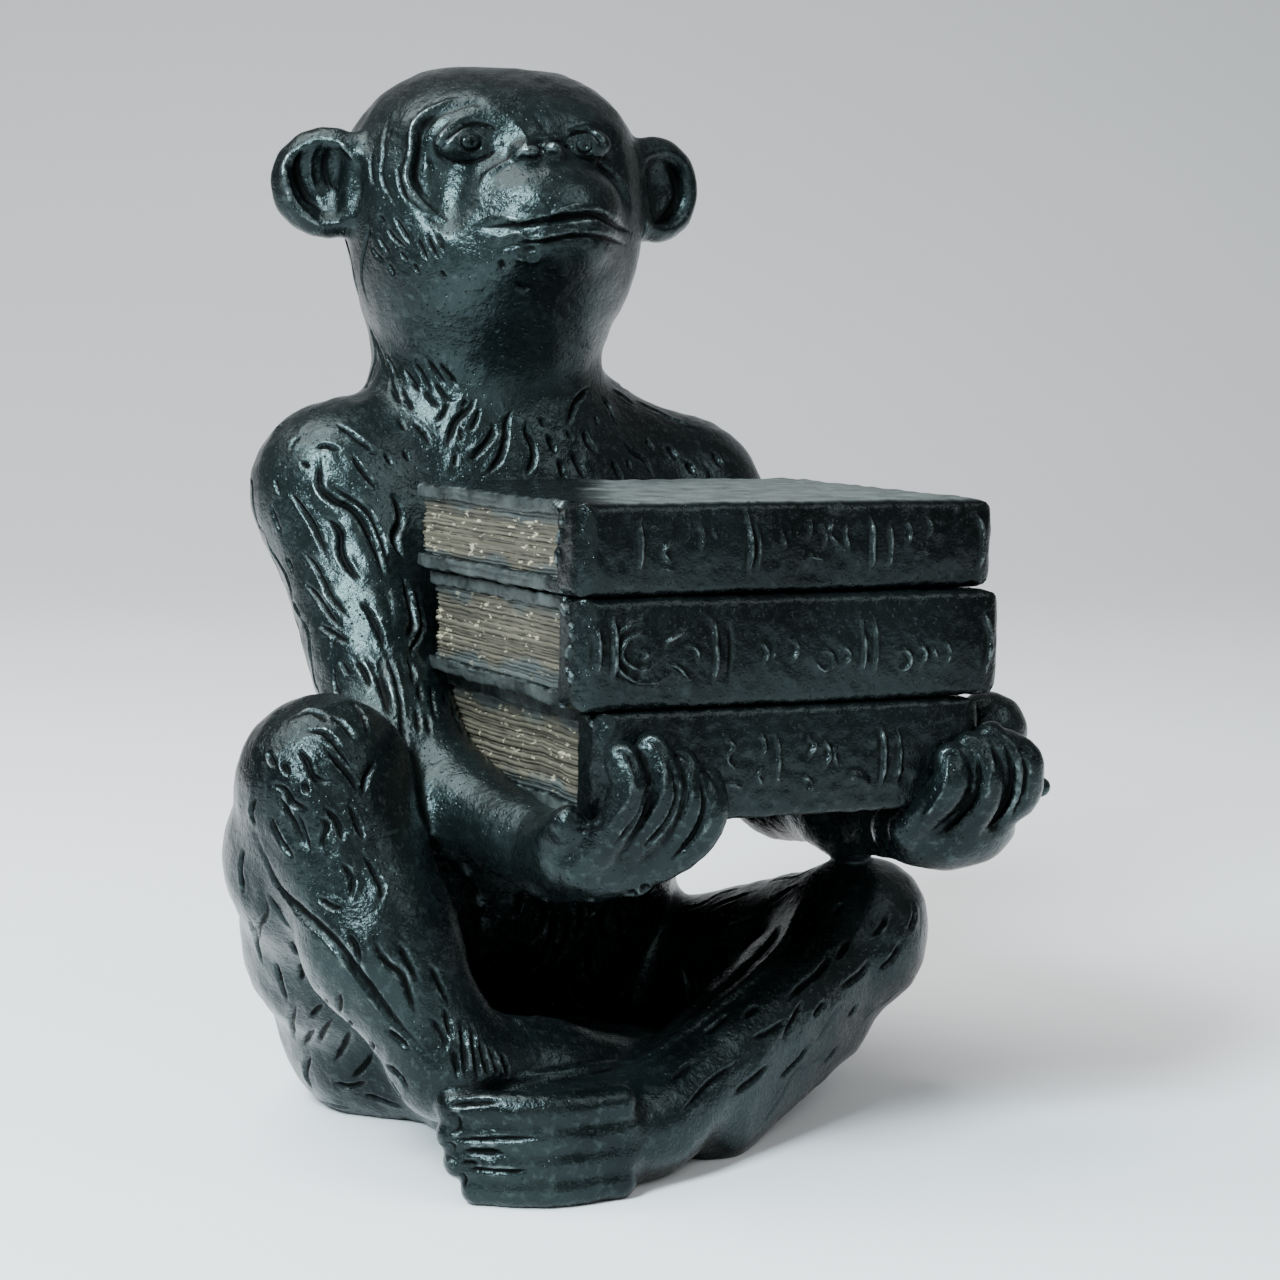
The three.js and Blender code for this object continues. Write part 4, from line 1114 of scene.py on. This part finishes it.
def fur_paths(figure, start, end, radius, lengths, angles, tries, stations=10):
    """Wavy paths that follow a limb's skin, how far each strays from it, and half widths."""
    start, end = np.array(start, float), np.array(end, float)
    share = np.linspace(0, 1, stations)
    span = end - start
    size = np.linalg.norm(span)
    along = span / size
    forward = np.array((0, -1, 0)) - along * (along @ np.array((0, -1, 0)))
    forward /= np.linalg.norm(forward)
    across = np.cross(along, forward)
    first = dice.uniform(*lengths, (tries, 1))
    angle = dice.uniform(*angles, (tries, 1))
    length = dice.uniform(*FUR_LENGTHS, (tries, 1))
    lean = dice.uniform(-FUR_LEAN, FUR_LEAN, (tries, 1))
    sway = dice.uniform(*FUR_SWAYS, (tries, 1)) * dice.choice([-1, 1], (tries, 1))
    sway = sway * SWAY_RADIUS / radius
    widths = dice.uniform(*FUR_WIDTHS, tries)
    turn = np.radians(angle + lean * share + sway * np.sin(2 * np.pi * share)).ravel()
    places = (start + np.outer((first + share * length / size).ravel(), span)
              + radius * (np.outer(np.cos(turn), forward) + np.outer(np.sin(turn), across)))
    for _ in range(3):
        places, _ = settled(places, figure, rounds=2, longest=6)
    strays = np.abs(figure.level(places)).reshape(tries, -1).max(1)
    return places.reshape(tries, -1, 3), strays, widths


def carve_fur(strokes, figure, apart=4.4, widest_gap=4, lowest=2, most_stray=0.2):
    """Fur strokes that keep clear of each other and of the carving that is there."""
    kept = strokes.points[::6]
    for *core, depth in FUR_REGIONS:
        for path, stray, width in zip(*fur_paths(figure, *core)):
            middle = path[4:6].mean(0)
            gaps = np.linalg.norm(np.diff(path, axis=0), axis=1)
            lost = stray > most_stray or path[:, 2].min() < lowest or gaps.max() > widest_gap
            near = np.linalg.norm(kept - middle, axis=1).min() < apart
            bare = any(np.linalg.norm(middle - centre) < room for centre, room in BARE_PLACES)
            if not (lost or near or bare):
                kept = np.vstack([kept, path])
                strokes.put(dense(smooth_curve(path, bends=3)), width, width * depth, FUR_LIP)


def carved(points, outward, strokes, reach=3.2):
    """Pushes the points in along the grooves and out along the ridges."""
    lip_place, lip_spread = 1.5, 0.5
    points = points.copy()
    for group in blocks(points, size=8):
        here = points[group]
        inside = (strokes.points > here.min(0) - reach) & (strokes.points < here.max(0) + reach)
        near = np.flatnonzero(inside.all(1))
        if not len(near):
            continue
        width, depth, lip = strokes.shape[near].T
        gap = np.linalg.norm(here[:, None] - strokes.points[near][None], axis=2) / width
        bowl = np.clip(1 - gap ** 2, 0, 1) ** 1.2
        sink = (bowl * np.maximum(depth, 0)).max(1)
        rise = (bowl * np.maximum(-depth, 0)).max(1)
        edge = (np.exp(-((gap - lip_place) / lip_spread) ** 2) * lip * LIP_HEIGHT).max(1)
        edge *= np.clip(1 - 2.5 * sink, 0, 1)
        points[group] = here + outward[group] * (rise + edge - sink)[:, None]
    return points


# Meshes

def mesh_object(name, mesh):
    piece = bpy.data.objects.new(name, mesh)
    bpy.context.scene.collection.objects.link(piece)
    return piece


def finished_mesh(piece):
    """The mesh with the piece's modifiers applied."""
    graph = bpy.context.evaluated_depsgraph_get()
    graph.update()
    mesh = bpy.data.meshes.new_from_object(piece.evaluated_get(graph))
    piece.modifiers.clear()
    old = piece.data
    piece.data = mesh
    bpy.data.meshes.remove(old)
    return mesh


def vectors_of(rows):
    """The vectors of a mesh's rows, as an array with three columns."""
    values = np.empty(len(rows) * 3, np.float32)
    rows.foreach_get("vector", values)
    return values.reshape(-1, 3).astype(float)


def points_of(mesh):
    return vectors_of(mesh.attributes["position"].data)


def outward_of(mesh):
    return vectors_of(mesh.vertex_normals)


def move_points(mesh, points):
    mesh.attributes["position"].data.foreach_set("vector", points.astype(np.float32).ravel())
    mesh.update()


def remeshed(piece, size):
    shaper = piece.modifiers.new("remesh", "REMESH")
    shaper.mode = "VOXEL"
    shaper.voxel_size = size
    shaper.adaptivity = 0
    return finished_mesh(piece)


def thinned(piece, most):
    count = sum(len(face.vertices) - 2 for face in piece.data.polygons)
    if count > most:
        shaper = piece.modifiers.new("thin", "DECIMATE")
        shaper.ratio = most / count
        shaper.use_collapse_triangulate = True
        finished_mesh(piece)


def monkey_mesh(figure):
    """The masses joined, and settled on to the figure's surface coarsely and then finely."""
    whole = bmesh.new()
    part = bpy.data.meshes.new("mass")
    for mass, _, cuts in figure.steps:
        if not cuts:
            bm = bmesh.new()
            mass.model(bm)
            bm.to_mesh(part)
            bm.free()
            whole.from_mesh(part)
    mesh = bpy.data.meshes.new("monkey")
    whole.to_mesh(mesh)
    whole.free()
    bpy.data.meshes.remove(part)
    piece = mesh_object("monkey", mesh)
    finest = 0.5
    for size, rounds in ((1.5, 5), (finest, 2)):
        mesh = remeshed(piece, size)
        points, outward = settled(points_of(mesh), figure, rounds)
        move_points(mesh, points)
    return piece, points, outward


def edge_pairs(mesh):
    pairs = np.empty(len(mesh.edges) * 2, np.int32)
    mesh.edges.foreach_get("vertices", pairs)
    return pairs.reshape(-1, 2)


def smoothed(values, pairs, rounds):
    """Each vertex's values averaged with its neighbours' over a few rounds."""
    values = values.copy()
    count = np.bincount(pairs.ravel(), minlength=len(values)).astype(float)
    for _ in range(rounds):
        total = np.zeros_like(values)
        for axis in range(values.shape[1]):
            total[:, axis] = (np.bincount(pairs[:, 0], values[pairs[:, 1], axis], len(values))
                              + np.bincount(pairs[:, 1], values[pairs[:, 0], axis], len(values)))
        values = 0.5 * values + 0.5 * total / np.maximum(count, 1)[:, None]
    return values


def hollows_and_ridges_of(mesh, points, outward, rounds=14, depth=0.35):
    """How hollow and how raised each point is."""
    around = smoothed(points, edge_pairs(mesh), rounds)
    proud = ((points - around) * outward).sum(1) / depth
    return {"hollow": -proud, "ridge": proud}


def carry_over(source_points, layers, mesh):
    """Gives a mesh the values of the nearest points of a finer one."""
    tree = KDTree(len(source_points))
    for n, point in enumerate(source_points):
        tree.insert(point, n)
    tree.balance()
    nearest = np.array([tree.find(point)[1] for point in points_of(mesh)])
    for name, values in layers.items():
        layer = mesh.attributes.new(name, "FLOAT", "POINT")
        layer.data.foreach_set("value", np.clip(values[nearest], 0, 1).astype(np.float32))


def within_solid(points, margin=0.02):
    """The points kept just inside the solid's box, and down to its underside."""
    return np.clip(points, cad_corners[0] + [margin, margin, 0], cad_corners[1] - margin)


def finish_piece(piece, points, outward, strokes, triangles, dust_and_reflection, metal):
    """Carves a piece, keeps it within the solid's box, marks its hollows, its ridges (which take
    wear and painted highlight) and its dust (which on the top book's cover is partly painted
    reflection), and thins it.
    """
    points = within_solid(carved(points, outward, strokes))
    move_points(piece.data, points)
    layers = {**hollows_and_ridges_of(piece.data, points, outward), "dust_and_reflection": dust_and_reflection}
    thinned(piece, triangles)
    carry_over(points, layers, piece.data)
    move_points(piece.data, within_solid(points_of(piece.data)))
    piece.data.transform(Matrix.Scale(MILLIMETRE, 4))
    piece.data.shade_smooth()
    piece.data.materials.clear()
    piece.data.materials.append(metal)
    return piece


def make_monkey(camera, metal):
    figure = sculpt_figure()
    piece, points, outward = monkey_mesh(figure)
    strokes = Strokes()
    carve_seen(strokes, figure, camera, SEEN_STROKES)
    carve_fur(strokes, figure)
    points += outward * (UNEVENNESS * waves(points, 4, 12))[:, None]
    dust_and_reflection = 0.35 * outward[:, 2] ** 3
    return finish_piece(piece, points, outward, strokes, TRIANGLES["monkey"], dust_and_reflection, metal)


# Books

STACK_CORNER = (-40, -118, 81)
STACK_LEAN = math.radians(1.3)
# Each book's dust share greys its top; the top book's large share is partly painted reflection of
# the pale backdrop
BOOKS = [
    {"name": "lower", "length": 93, "depth": 82, "thickness": 24,
     "shift": 4, "turn": -1.1, "dust_and_reflection": 0.3},
    {"name": "middle", "length": 102, "depth": 81, "thickness": 23.2,
     "shift": -0.8, "turn": -1, "dust_and_reflection": 0.3},
    {"name": "top", "length": 102, "depth": 82, "thickness": 19.4,
     "shift": -1.2, "turn": 0.8, "dust_and_reflection": 0.8},
]
# A book's boards, back and pages. Cells are the spacing of a mesh's points along X, Y and Z
BOOK_CORNER = 2.4
BOARD = 3.6
BOARD_CORNER = 1.0
BOARD_CELLS = (1.2, 0.6, 0.35)
BOARD_UNDER_SPINE, BOARD_SHORTFALL = 3, 2.5
WORN_EDGE, EDGE_WEAR, EDGE_LIFT = 3, 0.5, 0.2
SPINE_DEPTH = 12
SPINE_BULGE = 1.1
SPINE_EDGE, SPINE_CORNER = 2, 5
SPINE_END_CORNERS = (2.5, 5.5)
SPINE_CELLS = (0.42, 0.6, 0.42)
PAGE_INSET, LEFT_PAGE_INSET = 1.7, 1.1
PAGE_CELLS = (1.2, 1.2, 0.225)
PAGE_BEHIND_SPINE = 5
SHEAVES, SHEAF_THICKNESS, SHEAF_STEP = 64, (0.45, 1.4), 0.5
CLEFT_WIDTH, CLEFT_DEPTH = 0.3, 0.5


def stack_places():
    """Each book's frame: the left end of its spine's lower edge, length along X, depth along Y."""
    place = Matrix.Translation(STACK_CORNER) @ Matrix.Rotation(STACK_LEAN, 4, "Y")
    height = 0
    for book in BOOKS:
        turn = Matrix.Rotation(math.radians(book["turn"]), 4, "Z")
        yield book, place @ Matrix.Translation((book["shift"], 0, height)) @ turn
        height += book["thickness"]


def waves(points, shortest, longest, count=14):
    """Smooth uneven heights between about -1 and 1."""
    turns = dice.normal(size=(count, 3))
    turns /= np.linalg.norm(turns, axis=1)[:, None]
    turns *= 2 * math.pi / dice.uniform(shortest, longest, (count, 1))
    return np.sin(points @ turns.T + dice.uniform(0, 2 * math.pi, count)).sum(1) / math.sqrt(count)


def fine_box(low, high, steps):
    """A mesh of a box whose sides are divided into cells of about the given steps."""
    bm = bmesh.new()
    low, high = Vector(low), Vector(high)
    matrix = Matrix.Translation((low + high) / 2) @ Matrix.Diagonal((*(high - low), 1))
    bmesh.ops.create_cube(bm, size=1, matrix=matrix)
    for axis, span in enumerate(high - low):
        across = [edge for edge in bm.edges
                  if abs(edge.verts[0].co[axis] - edge.verts[1].co[axis]) > 0.9 * span]
        cuts = max(1, round(span / steps[axis])) - 1
        bmesh.ops.subdivide_edges(bm, edges=across, cuts=cuts, use_grid_fill=True)
    mesh = bpy.data.meshes.new("box")
    bm.to_mesh(mesh)
    bm.free()
    return mesh


def rounded_box(points, low, high, corner):
    """A box's points moved on to the box with round edges."""
    inner = np.clip(points, np.array(low) + corner, np.array(high) - corner)
    away = points - inner
    length = np.linalg.norm(away, axis=1)[:, None]
    return inner + away / np.maximum(length, 1e-9) * np.minimum(length, corner)


def board(length, depth, low, high):
    """A cover's board, worn back and lifted a little along the edges that stand free."""
    corners = (0, SPINE_DEPTH - BOARD_UNDER_SPINE, low), (length - BOARD_SHORTFALL, depth, high)
    mesh = fine_box(*corners, BOARD_CELLS)
    points = rounded_box(points_of(mesh), *corners, BOARD_CORNER)
    patchy = 0.5 + 0.35 * waves(points, 9, 40)
    inwards = np.sign(np.array((length / 2, depth / 2, 0)) - points) * [1, 1, 0]
    side = np.clip(1 - np.minimum(points[:, 0], length - points[:, 0]) / WORN_EDGE, 0, 1)
    rear = np.clip(1 - (depth - points[:, 1]) / WORN_EDGE, 0, 1)
    points += inwards * np.stack([side, rear, rear], 1) * (EDGE_WEAR * patchy)[:, None]
    points[:, 2] += EDGE_LIFT * waves(points, 14, 45) * (0.2 + np.maximum(side, rear))
    move_points(mesh, points)
    return mesh


def spine(length, top):
    """A cover's back: round at its four corners, along its edges and in plan, and bulged."""
    corners = (0, 0, 0), (length, SPINE_DEPTH, top)
    mesh = fine_box(*corners, SPINE_CELLS)
    points = points_of(mesh)
    ends = points[:, [0, 2]]
    halves = ends[:, 0] < length / 2, ends[:, 0] > length / 2
    for corner, half in zip(SPINE_END_CORNERS, halves):
        ends[half] = rounded_box(ends[half], (0, 0), (length, top), corner)
    points[:, [0, 2]] = ends
    plan = (0, 0), (length, 3 * SPINE_DEPTH)
    points[:, :2] = rounded_box(points[:, :2], *plan, SPINE_CORNER)
    points = rounded_box(points, *corners, SPINE_EDGE)
    share = points[:, 2] / top * 2 - 1
    points[:, 1] += SPINE_BULGE * share ** 2 * np.clip(1 - points[:, 1] / SPINE_DEPTH, 0, 1)
    move_points(mesh, points)
    return mesh


def page_sheaves(length, depth, top):
    """The leaves in sheaves, each standing a little in or out of its neighbours."""
    low = (LEFT_PAGE_INSET, PAGE_BEHIND_SPINE, BOARD / 2)
    high = (length - PAGE_INSET, depth - PAGE_INSET, top - BOARD / 2)
    mesh = fine_box(low, high, PAGE_CELLS)
    points = points_of(mesh)
    run = points[:, 0] + points[:, 1]
    flat = np.stack([run, 0 * run, 0 * run], 1)
    level = points[:, 2] + 0.3 * waves(flat, 20, 80) + 0.1 * waves(points, 4, 12)
    clefts = np.cumsum(dice.uniform(*SHEAF_THICKNESS, SHEAVES)) - 2
    step = dice.uniform(0, SHEAF_STEP, SHEAVES + 1)[np.searchsorted(clefts, level)]
    cleft = np.clip(1 - np.abs(level[:, None] - clefts).min(1) / CLEFT_WIDTH, 0, 1)
    inset = 0.1 + step + CLEFT_DEPTH * cleft + UNEVENNESS * (1 + waves(points, 2.5, 9))
    middle = (np.array(low) + high) / 2
    at_side = np.abs(np.abs(points - middle) - (high - middle)) < 1e-3
    points += np.sign(middle - points) * at_side * inset[:, None] * [1, 1, 0]
    move_points(mesh, points)
    return mesh


def laid_in_stack(name, parts, place):
    """A piece of a book in its place, and its points in the book's own frame."""
    whole = bmesh.new()
    for part in parts:
        whole.from_mesh(part)
    mesh = bpy.data.meshes.new(name)
    whole.to_mesh(mesh)
    whole.free()
    local = points_of(mesh)
    mesh.transform(place)
    return mesh_object(name, mesh), local


def cover_dust_and_reflection(local, outward, book, slant=0.5, start=2, fade=15, least=0.3):
    """Grey dust on top, which on the top book's cover also stands in as painted reflection of the
    pale backdrop and thins out in the cover's left corner as painted reflection of the dark chest,
    and a little dust on the boards' left edges.
    """
    beyond = local[:, 0] - slant * local[:, 1] + start + 1.2 * waves(local, 8, 25)
    top = book["dust_and_reflection"] * outward[:, 2] ** 3 * np.clip(least + beyond / fade, least, 1)
    side = np.clip((local[:, 1] - 4) / SPINE_DEPTH, 0.45, 1) * 0.6
    return np.maximum(top, -outward[:, 0] * side)


def leaf_dust(local, book):
    """Brown dust in the middle leaves."""
    share = 1 - np.abs(2 * local[:, 2] / book["thickness"] - 1)
    return np.clip((share - 0.3 + 0.12 * waves(local, 8, 30)) / 0.35, 0, 1)


def book_cover(book, place, camera, metal):
    """Two worn boards and a rounded back, with the marks that the camera sees."""
    size = length, depth, top = book["length"], book["depth"], book["thickness"]
    parts = [board(length, depth, 0, BOARD), board(length, depth, top - BOARD, top),
             spine(length, top)]
    piece, local = laid_in_stack(f"book_cover_{book['name']}", parts, place)
    points, outward = points_of(piece.data), outward_of(piece.data)
    outline = Sculpture()
    outline.add(0.1, Block((0, 0, 0), size, BOOK_CORNER, place))
    strokes = Strokes()
    carve_seen(strokes, outline, camera, BOOK_MARKS[book["name"]])
    points -= outward * (UNEVENNESS * (1 + waves(points, 2.5, 9)))[:, None]
    dust_and_reflection = cover_dust_and_reflection(local, outward, book)
    return finish_piece(piece, points, outward, strokes, TRIANGLES["book_cover"], dust_and_reflection, metal)


def page_block(book, place, metal):
    parts = [page_sheaves(book["length"], book["depth"], book["thickness"])]
    piece, local = laid_in_stack(f"page_block_{book['name']}", parts, place)
    points, outward = points_of(piece.data), outward_of(piece.data)
    dust_and_reflection = leaf_dust(local, book)
    return finish_piece(piece, points, outward, Strokes(), TRIANGLES["page_block"], dust_and_reflection, metal)


# Floor

def make_floor(half_width=4, cells=60, sweep_start=1.2, sweep_rise=0.35):
    """A pale floor that sweeps up far behind the figure."""
    bm = bmesh.new()
    bmesh.ops.create_grid(bm, x_segments=cells, y_segments=cells, size=half_width)
    ahead = Vector((math.sin(-CAMERA_TURN), math.cos(-CAMERA_TURN), 0))
    for vert in bm.verts:
        beyond = max(0.0, vert.co @ ahead - sweep_start)
        vert.co.z = sweep_rise * beyond ** 2
    mesh = bpy.data.meshes.new("floor")
    bm.to_mesh(mesh)
    bm.free()
    mesh.shade_smooth()
    floor = mesh_object("floor", mesh)
    mesh.materials.append(floor_finish())


camera = set_camera()
set_lights()
make_floor()
dark_patina = patina("dark_patina", 0.84)
# The books' covers use the same patina at a lower tone: painted shade for their dark backs and
# boards
book_patina_painted_shade = patina("book_patina_painted_shade", 0.5)
page_metal = leaf_metal()
pieces = [make_monkey(camera, dark_patina)]
for book, place in stack_places():
    pieces.append(book_cover(book, place, camera, book_patina_painted_shade))
    pieces.append(page_block(book, place, page_metal))
for piece in pieces:
    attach(piece, "root")
    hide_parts("monkey_figurine")
